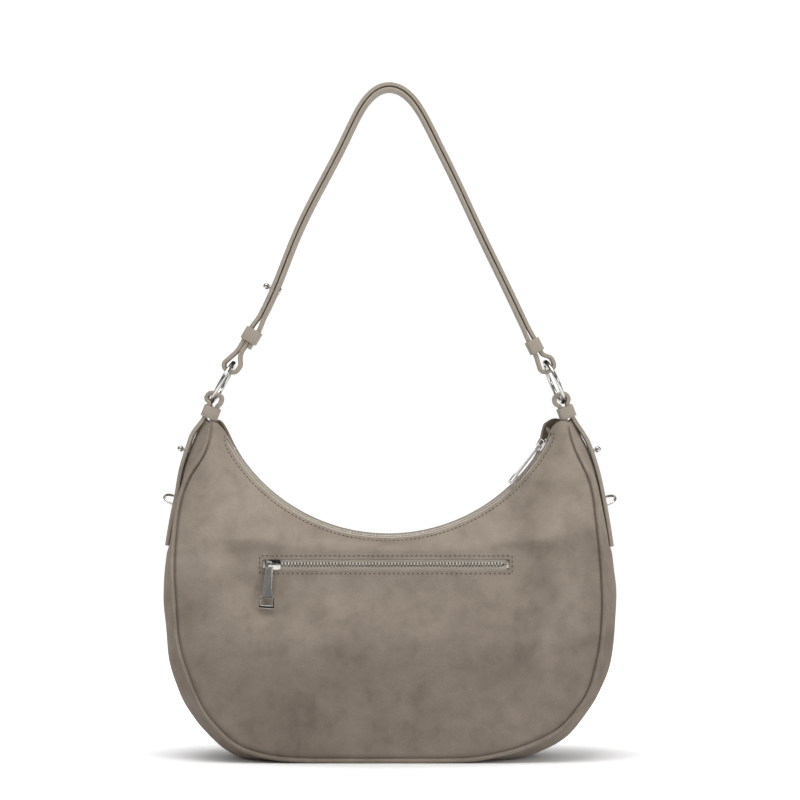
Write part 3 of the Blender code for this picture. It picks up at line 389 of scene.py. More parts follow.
def grainLeather():
    # milled calf with a matt top coat: fine pebble, a slow drift of tone; the cut edge is
    # painted and rubbed, a shade lighter and duller
    look = leatherLook
    made, tree, shader, place = newMaterial("milledTaupeLeather")
    cloud = addNode(tree, "TexNoise", "Fac", {
        "Vector": place, "Scale": look["cloud"], "Detail": 3.0, "Roughness": 0.5})
    pebble = addNode(tree, "TexVoronoi", "Distance", {
        "Vector": place, "Scale": look["pebble"], "Randomness": 1.0}, feature="SMOOTH_F1")
    colour = addNode(tree, "ValToRGB", "Color", {"Fac": cloud}, [
        (0.30, linear(look["dark"])), (0.50, linear(look["middle"])), (0.72, linear(look["light"]))])
    grain = addNode(tree, "ValToRGB", "Color", {"Fac": pebble}, [(0.1, grey(1.04)), (0.8, grey(0.84))])
    colour = addNode(tree, "Mix", 2, {0: 0.6, 6: colour, 7: grain}, **multiply)
    mask = addNode(tree, "Attribute", "Fac", attribute_name="edgePaint")
    colour = addNode(tree, "Mix", 2, {0: mask, 6: colour, 7: linear(look["edge"])}, data_type="RGBA")
    gloss = addNode(tree, "ValToRGB", "Color", {"Fac": cloud}, [(0.3, grey(0.50)), (0.7, grey(0.62))])
    bump = addNode(tree, "Bump", "Normal", {"Height": pebble, "Strength": 0.25, "Distance": -0.15 * mm})
    connect(tree, shader, {
        "Base Color": colour, "Roughness": gloss, "IOR": 1.5, "Specular IOR Level": 0.4, "Normal": bump})
    return made


nickelLook = {
    "rub": 900.0,           # rub marks about 1.1 mm, and six times finer across
    "across": 6.0,
    "stain": 180.0,         # a warmer cast in patches about 5.5 mm
    "cool": 0.88,
    "spread": (0.8, 1.7),   # how far the gloss goes to both sides
}


def platedNickel(name, roughness, tone):
    # zinc die casting polished and nickel plated: bright, with faint rub marks and a warm cast
    look = nickelLook
    made, tree, shader, place = newMaterial(name)
    stretch = addNode(tree, "Mapping", "Vector", {"Vector": place, "Scale": (1.0, look["across"], 1.0)})
    rub = addNode(tree, "TexNoise", "Fac", {
        "Vector": stretch, "Scale": look["rub"], "Detail": 3.0, "Roughness": 0.6})
    stain = addNode(tree, "TexNoise", "Fac", {"Vector": place, "Scale": look["stain"], "Detail": 2.0})
    warm = linear(tone)
    cool = tuple(value * look["cool"] for value in warm[:3]) + (1.0,)
    colour = addNode(tree, "ValToRGB", "Color", {"Fac": stain}, [(0.35, cool), (0.65, warm)])
    gloss = addNode(tree, "ValToRGB", "Color", {"Fac": rub}, [
        (0.35, grey(roughness * look["spread"][0])), (0.75, grey(roughness * look["spread"][1]))])
    bump = addNode(tree, "Bump", "Normal", {"Height": rub, "Strength": 0.06, "Distance": 0.02 * mm})
    connect(tree, shader, {"Base Color": colour, "Roughness": gloss, "Metallic": 1.0, "Normal": bump})
    return made


clothLooks = {
    # polyester zip tape: ten fine ribs across its width, dull, a shade lighter than the suede
    "ribbedZipTape": {
        "coordinates": "UV", "slant": 0, "bands": "Y", "ribs": 3.2, "uneven": 0.4, "picks": 260.0,
        "low": (0.45, "#A0968A"), "high": (1.0, "#C6BDB0"), "depth": 0.12 * mm, "rough": 0.85},
    # cotton twill, darker than the outside: diagonal ribs, drawn 2 mm apart so that they show
    "cottonTwillLining": {
        "coordinates": "Object", "slant": 45, "bands": "X", "ribs": 160.0, "uneven": 0.5, "picks": 500.0,
        "low": (0.4, "#5F554B"), "high": (1.0, "#83776A"), "depth": 0.2 * mm, "rough": 0.9},
}


def ribbedCloth(name):
    look = clothLooks[name]
    made, tree, shader, place = newMaterial(name, look["coordinates"])
    turned = addNode(tree, "Mapping", "Vector", {
        "Vector": place, "Rotation": (0.0, math.radians(look["slant"]), 0.0)})
    ribs = addNode(tree, "TexWave", "Fac", {
        "Vector": turned, "Scale": look["ribs"], "Distortion": look["uneven"], "Detail": 1.0},
        bands_direction=look["bands"])
    picks = addNode(tree, "TexNoise", "Fac", {"Vector": place, "Scale": look["picks"], "Detail": 2.0})
    height = addNode(tree, "Math", 0, {0: ribs, 1: picks}, operation="ADD")
    colour = addNode(tree, "ValToRGB", "Color", {"Fac": height}, [
        (at, linear(shade)) for at, shade in (look["low"], look["high"])])
    bump = addNode(tree, "Bump", "Normal", {"Height": height, "Strength": 0.4, "Distance": look["depth"]})
    connect(tree, shader, {"Base Color": colour, "Roughness": look["rough"], "Normal": bump})
    return made


def sewingThread(name, low, high):
    # bonded polyester thread, a little dull shine: twist lines, drawn 1.5 mm apart so that they show
    made, tree, shader, place = newMaterial(name)
    twist = addNode(tree, "TexWave", "Fac", {
        "Vector": place, "Scale": 420.0, "Distortion": 1.0}, bands_direction="DIAGONAL")
    colour = addNode(tree, "ValToRGB", "Color", {"Fac": twist}, [(0.2, linear(low)), (0.8, linear(high))])
    bump = addNode(tree, "Bump", "Normal", {"Height": twist, "Strength": 0.3, "Distance": 0.05 * mm})
    connect(tree, shader, {"Base Color": colour, "Roughness": 0.7, "Normal": bump})
    return made


suede = napSuede()
leather = grainLeather()
nickel = platedNickel("platedNickel", 0.13, "#C6C4C0")
toothNickel = platedNickel("zipToothNickel", 0.36, "#C8C3BA")
tape = ribbedCloth("ribbedZipTape")
liningCloth = ribbedCloth("cottonTwillLining")
thread = sewingThread("bondedThread", "#857A6C", "#9A8F81")
# painted shade: dark beads at the needle holes, drawn with the thread's twist lines
holeShadeLook = sewingThread("needleHoleShade", "#352E27", "#463D34")
print("materials made")


# Body: the same lines as the solids, drawn finer

bodyShape = {
    "seamHalfWidth": 170 * mm,
    "gussetHalfWidth": 178 * mm,
    "hornHeight": 266 * mm,
    "baseHalfDepth": 38 * mm,
    "hornHalfDepth": 13.5 * mm,
    "depthFall": 2.2,
    "bellyCrown": 12 * mm,
    "sideCrown": 7 * mm,
    "hornRise": {-1: (3.5 * mm, 3.0 * mm), 1: (5.6 * mm, 3.8 * mm)},
    "hornShare": 0.07,
    "panelWall": 1.8 * mm,
    "panelGrid": (190, 84),
    "rowCrowding": 1.15,         # rows lie closer together by the mouth
    "tuck": 1.4 * mm,            # the panel's edge is drawn in where it is sewn to the piping
    "tuckWidth": 3.2 * mm,
    "piping": (1.0 * mm, 0.6 * mm),      # radius at the horns, and what it gains along the sides
    "pipingShare": 0.05,
    "pipingGap": 0.3 * mm,
    "waves": (1.3 * mm, 0.45 * mm),
    "mouthX": -2.6 * mm,
    "mouthZ": 319 * mm,
    "mouthRadius": 143.1 * mm,
    "mouthLeft": -64.4,
    "mouthRight": 66.3,
    "mouthLean": math.radians(10.0),
    "mouthHalfGap": 8 * mm,
    "frontDrop": 0.8 * mm,
    "mouthEndRise": {-1: (3.2 * mm, 3.5 * mm), 1: (1.0 * mm, 6.3 * mm)},     # left and right end of each edge
    "mouthEndShare": {-1: 0.032, 1: 0.09},
    "pocketX": -4.1 * mm,
    "pocketZ": 154 * mm,
    "pocketHalfLength": 97.5 * mm,
    "pocketHalfHeight": 4.6 * mm,
    "pocketDepth": 21.5 * mm,
}
seamShares = [
    (-0.850, 0.997), (-0.848, 0.965), (-0.875, 0.908), (-0.951, 0.828), (-0.991, 0.737),
    (-1.010, 0.595), (-1.002, 0.477), (-0.977, 0.330), (-0.883, 0.171), (-0.784, 0.089),
    (-0.691, 0.044), (-0.564, 0.0185), (-0.419, 0.0090), (-0.200, 0.0075), (0.050, 0.0075),
    (0.260, 0.0080), (0.411, 0.0140), (0.602, 0.0431), (0.767, 0.0938), (0.860, 0.1560),
    (0.920, 0.218), (0.966, 0.331), (0.982, 0.443), (0.980, 0.537), (0.969, 0.639),
    (0.956, 0.719), (0.944, 0.784), (0.920, 0.841), (0.868, 0.911), (0.838, 0.965),
    (0.828, 1.000),
]
gussetShares = [
    (-0.836, 0.998), (-0.862, 0.962), (-0.881, 0.930), (-0.907, 0.883), (-0.938, 0.797),
    (-0.962, 0.722), (-0.983, 0.639), (-0.998, 0.564), (-1.003, 0.481), (-0.996, 0.414),
    (-0.977, 0.290), (-0.931, 0.195), (-0.868, 0.123), (-0.806, 0.075), (-0.722, 0.028),
    (-0.620, 0.000), (-0.400, -0.006), (0.000, -0.006), (0.370, -0.006), (0.540, 0.002),
    (0.664, 0.027), (0.783, 0.075), (0.872, 0.147), (0.930, 0.218), (0.967, 0.290),
    (0.986, 0.397), (0.993, 0.489), (0.982, 0.564), (0.966, 0.648), (0.955, 0.695),
    (0.928, 0.792), (0.908, 0.838), (0.876, 0.906), (0.842, 0.953), (0.808, 0.991),
]


def bodyLine(shares, halfWidth):
    return SmoothLine([(x * halfWidth, z * bodyShape["hornHeight"]) for x, z in shares])


seam = bodyLine(seamShares, bodyShape["seamHalfWidth"])
gussetLine = bodyLine(gussetShares, bodyShape["gussetHalfWidth"])


def halfDepth(z):
    base, horn = bodyShape["baseHalfDepth"], bodyShape["hornHalfDepth"]
    fall = (max(z, 0.0) / (bodyShape["hornHeight"] * seamShares[0][1])) ** bodyShape["depthFall"]
    return base - (base - horn) * min(fall, 1.0)


def nearEnd(share, width):
    # 1 at both horns, gone beyond this share of the line
    return 1 - smoothStep(min(share, 1 - share) / width)


def pipingSize(share):
    thin, gain = bodyShape["piping"]
    return thin + gain * smoothStep(min(share, 1 - share) / bodyShape["pipingShare"])


def mouthPoint(share, side):
    # the mouth leans to the front, so the front edge lies lower
    shape = bodyShape
    angle = math.radians(shape["mouthLeft"] + (shape["mouthRight"] - shape["mouthLeft"]) * share)
    lift = shape["mouthEndRise"][side][share > 0.5] * nearEnd(share, shape["mouthEndShare"][side])
    radius = shape["mouthRadius"] - lift - side * shape["mouthHalfGap"] * math.sin(shape["mouthLean"])
    if side < 0:
        radius += shape["frontDrop"] * math.sin(angle) ** 2
    return Vector((shape["mouthX"] + radius * math.sin(angle), shape["mouthZ"] - radius * math.cos(angle)))


def pocketZone(x, z, u):
    # 1 where the front lies flat round the pocket's zip, fading out within a margin
    beside = abs(x - bodyShape["pocketX"]) - bodyShape["pocketHalfLength"]
    above = z - bodyShape["pocketZ"]
    zone = smoothStep(u / 0.05)
    for past, margin, fade in ((beside, 12, 30), (above, 11, 10), (-above, 9, 60)):
        zone *= 1 - smoothStep((past - margin * mm) / (fade * mm))
    return zone


def suedeWave(x, z, u, side):
    # low soft waves of the hide, gone at the seams, the mouth and the pocket's zip
    broad, small = bodyShape["waves"]
    wave = noise.noise(Vector((x * 16, z * 11, 3.7 * side))) * broad
    wave += noise.noise(Vector((x * 45 + z * 18, z * 30, 9.1 * side))) * small
    return wave * math.sin(math.pi * u) ** 0.8


def panelPoint(share, u, side):
    # u runs from the mouth, 0, to the side seam, 1
    shape = bodyShape
    u = min(max(u, 0.0), 1.0)
    arch = max(math.sin(math.pi * u), 0.0)
    top = mouthPoint(share, side)
    low = seam.at(share) + seam.normal(share) * (pipingSize(share) + shape["pipingGap"])
    flat, span = top.lerp(low, u), (low - top).length
    rise = shape["hornRise"][side][share > 0.5]
    flat.y += rise * arch * nearEnd(share, shape["hornShare"])
    full = min(span / (shape["mouthZ"] - shape["mouthRadius"]), 1.0)
    crown = shape["sideCrown"] + (shape["bellyCrown"] - shape["sideCrown"]) * math.sin(math.pi * share)
    depth = shape["mouthHalfGap"] * math.cos(shape["mouthLean"])
    depth += (halfDepth(low.y) - depth) * math.sin(math.pi / 2 * u) ** 0.8
    depth += crown * full * arch ** 1.3
    zone = pocketZone(flat.x, flat.y, u) if side < 0 else 0.0
    depth += (shape["pocketDepth"] - depth) * zone
    depth -= shape["tuck"] * (1 - smoothStep((1 - u) * span / shape["tuckWidth"]))
    depth += suedeWave(flat.x, flat.y, u, side) * (1 - zone)
    return Vector((flat.x, side * depth, flat.y))


def onPocket(x, depth, z):
    return Vector((bodyShape["pocketX"] + x, -depth, bodyShape["pocketZ"] + z))


def makePanel(name, side):
    panel = mappedGrid(name, *bodyShape["panelGrid"], lambda a, b: panelPoint(
        a, b ** bodyShape["rowCrowding"], side))
    wallSheet(panel, bodyShape["panelWall"], (0, -side, 0))
    return panel


def cutWindow(panel):
    # the slot for the pocket's zip
    pickNone()
    bpy.ops.mesh.primitive_cube_add(size=1, location=onPocket(0, bodyShape["pocketDepth"], 0))
    cutter = bpy.context.object
    cutter.scale = (2 * bodyShape["pocketHalfLength"], 12 * mm, 2 * bodyShape["pocketHalfHeight"])
    bpy.ops.object.transform_apply()
    cut = panel.modifiers.new("window", "BOOLEAN")
    cut.operation = "DIFFERENCE"
    cut.solver = "EXACT"
    cut.object = cutter
    applyAll(panel)
    bpy.data.objects.remove(cutter)


frontPanel = makePanel("front_panel_suede", -1)
cutWindow(frontPanel)
dress(frontPanel, suede, "bag", "front_panel", 50)
dress(makePanel("back_panel_suede", 1), suede, "bag", "back_panel", 50)
print("panels made")

gussetShape = {
    "wall": 1.8 * mm,
    "rim": 2.7 * mm,                  # how far behind the piping the strip starts
    "round": 2.4,
    "swell": 1.3,
    "crease": 0.9 * mm,               # drawn in beside the piping
    "padding": (0.3 * mm, 1.2 * mm, 1.6 * mm),      # all round, slack beside the tab, full below it
    "fullFrom": (0.121, 0.012),
    "freeUntil": (0.035, 0.04),       # shares along which tab and strip part
    "endRise": ((1.6 * mm, 4.0 * mm), (-1.0 * mm, 5.6 * mm)),
    "endShare": 0.014,
    "wave": 0.8 * mm,
}


def besideTab(end):
    start, fade = gussetShape["freeUntil"]
    return 1 - smoothStep((end - start) / fade)


def gussetRim(share):
    return 1 - gussetShape["rim"] / halfDepth(seam.at(share).y)


def gussetPoint(share, v):
    shape = gussetShape
    edge, crest, rim = seam.at(share), gussetLine.at(share), gussetRim(share)
    bulge = (1 - min(abs(v) / rim, 1.0) ** shape["round"]) ** shape["swell"]
    flat = edge.lerp(crest, bulge)
    flat += seam.normal(share) * shape["crease"] * max(abs(v) / rim * 10 - 9, 0.0)
    end = min(share, 1 - share)
    allRound, slack, below = shape["padding"]
    puff = allRound + slack * besideTab(end)
    puff += below * smoothStep((end - shape["fullFrom"][0]) / shape["fullFrom"][1])
    flat -= gussetLine.normal(share) * puff * bulge
    flat += Vector(shape["endRise"][share > 0.5]) * nearEnd(share, shape["endShare"]) * bulge
    out = crest - edge
    if out.length > 0:
        wave = noise.noise(Vector((share * 30, v * 1.6, 2.0))) * shape["wave"] * (1 - abs(v)) ** 0.5
        flat += out.normalized() * wave * smoothStep((end - 0.02) / 0.1)
    return Vector((flat.x, v * halfDepth(edge.y), max(flat.y, 0.0)))


def gussetPlace(a, b):
    if 0 < b < 1:
        return gussetPoint(a, gussetRim(a) * math.sin(math.pi * (b - 0.5)))
    under = seam.at(a) + seam.normal(a) * pipingSize(a) * 0.37       # the rim runs up against the piping
    deep = halfDepth(seam.at(a).y) - bodyShape["tuck"] - 0.05 * mm
    return Vector((under.x, (2 * b - 1) * deep, under.y))


gusset = mappedGrid("gusset_suede", 240, 26, gussetPlace)
wallSheet(gusset, gussetShape["wall"], (0, 0, 1))
dress(gusset, suede, "bag", "gusset", 50)
print("gusset made")

for side, face in ((-1, "front"), (1, "back")):
    shares = [0.004 + 0.992 * n / 240 for n in range(241)]
    line = [Vector((seam.at(s).x, side * halfDepth(seam.at(s).y), seam.at(s).y)) for s in shares]
    radii = [pipingSize(s) * min(1.0, 0.5 + 30 * min(s, 1 - s)) for s in shares]      # its ends taper
    dress(tube(f"piping_{face}_cord", line, radii, 12), suede, "bag", f"piping_{face}", 60)
print("piping made")

for nodeName in ("lining", "pocket_bag"):
    dress(solidCopy(nodeName, f"{nodeName}_cloth", 0), liningCloth, "bag", nodeName, 60)
print("lining made")


# Zips

zipShape = {
    "sink": 0.8 * mm,
    "pitch": 2.54 * mm,
    "tape": 0.6 * mm,
    "mainLeft": -58.0,
    "mainRight": 63.6,
    "sliderRest": 60.0,
    "sliderHalf": 5.6 * mm,
    "stop": 2.6 * mm,
    "spread": 1.4 * mm,
    "spreadLength": 7 * mm,
    "mainTape": [(1.6, 0.0), (5.4, 0.0), (6.0, -1.6), (8.4, -6.5)],      # mm across and up
    "mainTapeEnds": (0.9, -0.6),          # degrees inside the mouth's ends
    "openLift": (-3.2 * mm, 10.6 * mm),   # the back tape beyond the slider follows the raised mouth
    "openLength": 8 * mm,
    "pocketTape": (1.6, 7.4),             # mm, its inner and outer edge
    "pocketTapeEnd": (91.5 * mm, 1.5 * mm),
}
toothShape = {
    "leg": (1.45 * mm, 1.35 * mm, 2.1 * mm),
    "offset": 1.6 * mm,
    "neck": (0.35 * mm, (0.72, 1.0, 0.8)),
    "head": (1.15 * mm, (0.92, 1.0, 0.86)),
    "bevel": 0.16 * mm,
}
chainRadius = bodyShape["mouthRadius"] + zipShape["sink"]
pocketChainDepth = bodyShape["pocketDepth"] - bodyShape["panelWall"] - 0.4 * mm - zipShape["tape"] / 2


def mainZipPlace(along, across, height):
    angle, lean = along / chainRadius, bodyShape["mouthLean"]
    radius = chainRadius - height * math.cos(lean) - across * math.sin(lean)
    y = across * math.cos(lean) - height * math.sin(lean)
    x, z = bodyShape["mouthX"] + radius * math.sin(angle), bodyShape["mouthZ"] - radius * math.cos(angle)
    return Vector((x, y, z))


def pocketZipPlace(along, across, height):
    return onPocket(along, pocketChainDepth + height, across)


def mainAlong(degrees):
    return math.radians(degrees) * chainRadius


opensAt = mainAlong(zipShape["sliderRest"]) + zipShape["sliderHalf"]


def mainSpread(along):
    return zipShape["spread"] * smoothStep((along - opensAt) / zipShape["spreadLength"])


def noSpread(along):
    return 0.0


def toothMaster():
    # one tooth: legs clamped over the tape's bead, and a narrower head that meets its neighbours
    pickNone()
    bpy.ops.mesh.primitive_cube_add(size=1)
    tooth = bpy.context.object
    tooth.scale = toothShape["leg"]
    bpy.ops.object.transform_apply()
    tooth.data.transform(Matrix.Translation((0, toothShape["offset"], 0)))
    bpy.ops.object.mode_set(mode="EDIT")
    bpy.ops.mesh.select_all(action="DESELECT")
    endEdit()
    for face in tooth.data.polygons:
        face.select = face.normal.y < -0.9
    bpy.ops.object.mode_set(mode="EDIT")
    for reach, narrowed in (toothShape["neck"], toothShape["head"]):
        bpy.ops.mesh.extrude_region_move(TRANSFORM_OT_translate={"value": (0, -reach, 0)})
        bpy.ops.transform.resize(value=narrowed)
    endEdit()
    roundEdges(tooth, toothShape["bevel"], 1)
    return tooth


tooth = toothMaster()


def toothRow(nodeName, side, start, end, placeAt, spread):
    # each row has the tooth's own axes on its chain, and the other row is mirrored and half a pitch on
    teeth, step = [], 0.05 * mm
    for n in range(int((end - start) / zipShape["pitch"])):
        along = start + (n + 0.5 + (0.5 if side > 0 else 0.0)) * zipShape["pitch"]
        across = side * spread(along)
        here = placeAt(along, across, 0.0)
        way = (placeAt(along + step, across, 0.0) - here).normalized()
        over = (placeAt(along, across + step, 0.0) - here).normalized() * side
        out = (placeAt(along, across, step) - here).normalized()
        teeth.append(copyOf(tooth, axesAt(here, way, over, out)))
    row = joined(f"{nodeName}_row", teeth)
    tidyMesh(row, fill=False)
    dress(row, toothNickel, "bag", nodeName, 35)


mainStart, mainEnd = mainAlong(zipShape["mainLeft"]), mainAlong(zipShape["mainRight"])
pocketHalf = bodyShape["pocketHalfLength"] - zipShape["stop"] - 0.6 * mm
for side, face in ((-1, "front"), (1, "back")):
    toothRow(f"main_teeth_{face}", side, mainStart, mainEnd, mainZipPlace, mainSpread)
for side, face in ((-1, "lower"), (1, "upper")):
    toothRow(f"pocket_teeth_{face}", side, -pocketHalf, pocketHalf - zipShape["pitch"] / 2,
             pocketZipPlace, noSpread)
bpy.data.objects.remove(tooth)
print("zip teeth made")


def mainTapePlace(side, a, b):
    first = mainAlong(bodyShape["mouthLeft"] + zipShape["mainTapeEnds"][0])
    last = mainAlong(bodyShape["mouthRight"] + zipShape["mainTapeEnds"][1])
    along = first + (last - first) * a
    at = tapeProfile.at(b).copy()
    if side > 0:
        opened = smoothStep((along - opensAt) / zipShape["openLength"]) * smoothStep((b - 0.3) / 0.7)
        at += Vector(zipShape["openLift"]) * opened
    return mainZipPlace(along, side * (at.x + mainSpread(along) * (1 - b)), at.y + zipShape["tape"] / 2)


def pocketTapePlace(side, a, b):
    reach = bodyShape["pocketHalfLength"] + zipShape["stop"]
    along = -reach + 2 * reach * a
    closes, fade = zipShape["pocketTapeEnd"]
    inner, outer = zipShape["pocketTape"]
    inner -= (inner - 0.15) * smoothStep((abs(along) - closes) / fade)
    return pocketZipPlace(along, side * (inner + (outer - inner) * b) * mm, zipShape["tape"] / 2)


tapeProfile = SmoothLine([(y * mm, z * mm) for y, z in zipShape["mainTape"]], 60)
for nodeName, side, rows, placeAt, inward in (
        ("main_tape_front", -1, 14, mainTapePlace, (0, 0, -1)),
        ("main_tape_back", 1, 14, mainTapePlace, (0, 0, -1)),
        ("pocket_tape_lower", -1, 8, pocketTapePlace, (0, 1, 0)),
        ("pocket_tape_upper", 1, 8, pocketTapePlace, (0, 1, 0))):
    tapePiece = mappedGrid(f"{nodeName}_cloth", 200, rows, lambda a, b: placeAt(side, a, b))
    wallSheet(tapePiece, zipShape["tape"], inward)
    dress(tapePiece, tape, "bag", nodeName, 50)
print("zip tapes made")

for nodeName in ("main_top_stop_front", "main_top_stop_back", "main_bottom_stop",
                 "pocket_open_end_stop", "pocket_closed_end_stop"):
    dress(solidCopy(nodeName, f"{nodeName}_metal", 0.35 * mm), toothNickel, "bag", nodeName)
for nodeName, body in (("main_slider", "main_slider"), ("main_slider_lower_wing", "main_slider"),
                       ("pocket_slider", "pocket_slider"), ("pocket_slider_lower_wing", "pocket_slider"),
                       ("main_pull", "main_pull"), ("pocket_pull", "pocket_pull")):
    dress(solidCopy(nodeName, f"{nodeName}_metal", 0.3 * mm), nickel, body, nodeName)
print("sliders and pulls made")


# Lip round the pocket's window: the suede is turned in over its edge

lipShape = {
    "radius": 0.85 * mm,
    "back": 0.25 * mm,
    "corner": 1.6 * mm,
    "step": 1.6 * mm,
    "sides": 10,
    "sunk": 0.7 * mm,
}
lipLoop = evenLoop(roundedLoop(
    bodyShape["pocketHalfLength"] + lipShape["back"], bodyShape["pocketHalfHeight"] + lipShape["back"],
    lipShape["corner"], 5), lipShape["step"])


def lipPlace(n, m):
    count = len(lipLoop)
    flat, way = lipLoop[n % count]
    way = (way + lipLoop[(n + 1) % count][1]).normalized()
    turn = math.tau * m / lipShape["sides"]
    at = flat + Vector((way.y, -way.x)) * math.cos(turn) * lipShape["radius"]
    depth = bodyShape["pocketDepth"] - lipShape["sunk"] + math.sin(turn) * (lipShape["radius"] + 0.1 * mm)
    return onPocket(at.x, depth, at.y)


lip = rolledGrid("pocket_window_lip", len(lipLoop), lipShape["sides"], lipPlace, fill=False)
dress(lip, suede, "bag", None, 70)
print("pocket window made")


# Stitches: a short thread between two needle holes, each hole a dark bead of painted shade

stitchShape = {
    "thread": (2.1 * mm, 0.6 * mm, 0.5 * mm),
    "hole": (1.5 * mm, 1.05 * mm, 0.5 * mm),
    "longest": 6 * mm,
    "mouthInset": 2.3 * mm,
    "mouthPitch": 3.3 * mm,
    "mouthEnds": (0.014, 0.986),
    "windowHalf": (99.3 * mm, 7.0 * mm),
    "windowCorner": 0.8 * mm,
    "windowPitch": 3.78 * mm,
}


def bead(size, material):
    pickNone()
    bpy.ops.mesh.primitive_uv_sphere_add(segments=6, ring_count=4, radius=0.5)
    made = bpy.context.object
    made.rotation_euler = (0, math.pi / 2, 0)
    bpy.ops.object.transform_apply()
    made.scale = size
    bpy.ops.object.transform_apply()
    made.data.materials.append(material)
    return made


def sewn(name, marks):
    # marks: place of each needle hole, the way along the seam and the way out of the leather
    threadBead, holeShadeBead = bead(stitchShape["thread"], thread), bead(stitchShape["hole"], holeShadeLook)
    made = []
    for n, (at, way, out) in enumerate(marks):
        over = out.cross(way).normalized()
        made.append(copyOf(holeShadeBead, axesAt(at + out * 0.05 * mm, way, over, out)))
        if n + 1 < len(marks) and (marks[n + 1][0] - at).length < stitchShape["longest"]:
            middle = (at + marks[n + 1][0]) / 2
            made.append(copyOf(threadBead, axesAt(middle + out * 0.02 * mm, way, over, out)))
    row = joined(name, made)
    bpy.data.objects.remove(threadBead)
    bpy.data.objects.remove(holeShadeBead)
    smoothShade(row, 80)
    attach(row, "bag")


def windowStitches():
    marks = []
    window = roundedLoop(*stitchShape["windowHalf"], stitchShape["windowCorner"], 2)
    for flat, way in evenLoop(window, stitchShape["windowPitch"]):
        at = onPocket(flat.x, bodyShape["pocketDepth"], flat.y)
        marks.append((at, Vector((way.x, 0, way.y)), Vector((0, -1, 0))))
    return marks + marks[:1]


def mouthStitches(side):
    marks, inset = [], stitchShape["mouthInset"]
    share, end = stitchShape["mouthEnds"]
    while share < end:
        span = (seam.at(share) - mouthPoint(share, side)).length
        at = panelPoint(share, inset / span, side)
        if not marks or (at - marks[-1][0]).length >= stitchShape["mouthPitch"]:
            ahead = panelPoint(share + 0.004, inset / span, side)
            below = panelPoint(share, (inset + 2 * mm) / span, side)
            way = (ahead - at).normalized()
            out = way.cross(below - at).normalized()
            marks.append((at, way, out if out.y * side > 0 else -out))
        share += 0.0005
    return marks


sewn("pocket_window_stitches", windowStitches())
sewn("mouth_stitches_front", mouthStitches(-1))
sewn("mouth_stitches_back", mouthStitches(1))
print("stitches made")


# Rings, tabs and keepers

ringShape = {
    "ringX": 131.3 * mm,
    "upperX": -2.0 * mm,
    "ringZ": 297.8 * mm,
    "radius": 17.4 * mm,
    "wire": 1.7 * mm,
    "leftLean": 29.0,
    "rightLean": 24.0,
    "leftTurn": -2.0,           # about its own long axis, as it hangs
    "rightTurn": 6.0,
}
tabShape = {
    "ply": 3.2 * mm,
    "halfWidth": 9 * mm,
    "lean": 22.0,
    "loopTop": 10.8 * mm,
    "leftLoop": (7.3 * mm, 4.3 * mm),
    "rightLoop": (5.4 * mm, 5.3 * mm),
    "loopCorner": 3.5 * mm,
    "loopShoulder": 17.3 * mm,
    "offset": 3.1 * mm,
    "keeperStart": 21.3 * mm,
    "keeperLead": 1 * mm,
    "keeperLength": 9.5 * mm,
    "tail": ((39 * mm, 6.5 * mm), (47 * mm, 11 * mm)),
    "stations": (0.0125, 0.025, 0.05, 0.075, 0.1, 0.125),      # shares of the gusset's line, from the horn
    "freeGap": 1.6 * mm,
    "gap": 0.5 * mm,
    "step": 1.6 * mm,
}
leatherCut = {
    "corner": 0.7 * mm,          # rubbed corners of a ply
    "keeperWall": 1.5 * mm,
    "keeperCorner": 1.2 * mm,
    "keeperRub": 0.45 * mm,
    "ease": 0.3 * mm,            # a keeper's room round the plies
}
studShape = {
    "ball": 2.6 * mm,
    "neck": 1.3 * mm,
    "flange": 2.5 * mm,
    "flangeHeight": 0.9 * mm,
    "neckHeight": 0.8 * mm,
    "screw": 3.2 * mm,
    "screwHeight": 1.1 * mm,
    "rub": 0.3 * mm,
}
halfLoopShape = {
    "half": 6.2 * mm,
    "reach": 8 * mm,
    "wire": 1.15 * mm,
    "tilt": math.radians(14.0),
    "twist": math.radians(26.0),
    "steps": 24,
}


def makeRing(side, name):
    pickNone()
    bpy.ops.mesh.primitive_torus_add(
        major_radius=ringShape["radius"], minor_radius=ringShape["wire"], major_segments=96,
        minor_segments=20, location=(0, 0, 0), rotation=(0, math.pi / 2, 0))
    made = bpy.context.object
    made.name = f"ring_{name}_metal"
    bpy.ops.object.transform_apply()
    made.data.transform(Matrix.Rotation(math.radians(ringShape[f"{name}Turn"]), 4, "Z"))
    made.data.transform(Matrix.Rotation(-side * math.radians(ringShape[f"{name}Lean"]), 4, "Y"))
    made.data.transform(Matrix.Translation((
        ringShape["upperX"] + side * ringShape["ringX"], 0, ringShape["ringZ"])))
    dress(made, nickel, f"{name}_ring", f"ring_{name}")


def bendLine(centre, way, across, bottom, nearHalf, farHalf, corner, shoulder):
    # round the ring's bar from one ply to the other
    flat = [(shoulder, -nearHalf)]
    for side, half, steps in ((-1, nearHalf, (0, 1, 2, 3)), (1, farHalf, (3, 2, 1, 0))):
        for turn in (math.pi / 2 * n / 3 for n in steps):
            beside = half - corner + corner * math.cos(turn)
            flat.append((bottom + corner - corner * math.sin(turn), side * beside))
    flat.append((shoulder, farHalf))
    return [centre + way * a + across * q for a, q in flat]


def outerTabLine(side):
    points = []
    for share in tabShape["stations"]:
        walk = share if side < 0 else 1 - share
        off = tabShape["ply"] / 2 + tabShape["gap"] + tabShape["freeGap"] * besideTab(share)
        points.append(gussetLine.at(walk) - gussetLine.normal(walk) * off)
    return points


def onTab(side, station, share):
    here, there = outerTabLine(side)[station:station + 2]
    out = Vector((-(there.y - here.y), there.x - here.x)).normalized() * side
    return here.lerp(there, share), out


def leatherPiece(nodeName, body, last, around, placeAt, edges, fill=True):
    made = rolledGrid(f"{nodeName}_leather", last, around, placeAt, fill, edges)
    dress(made, leather, body, nodeName, 50)


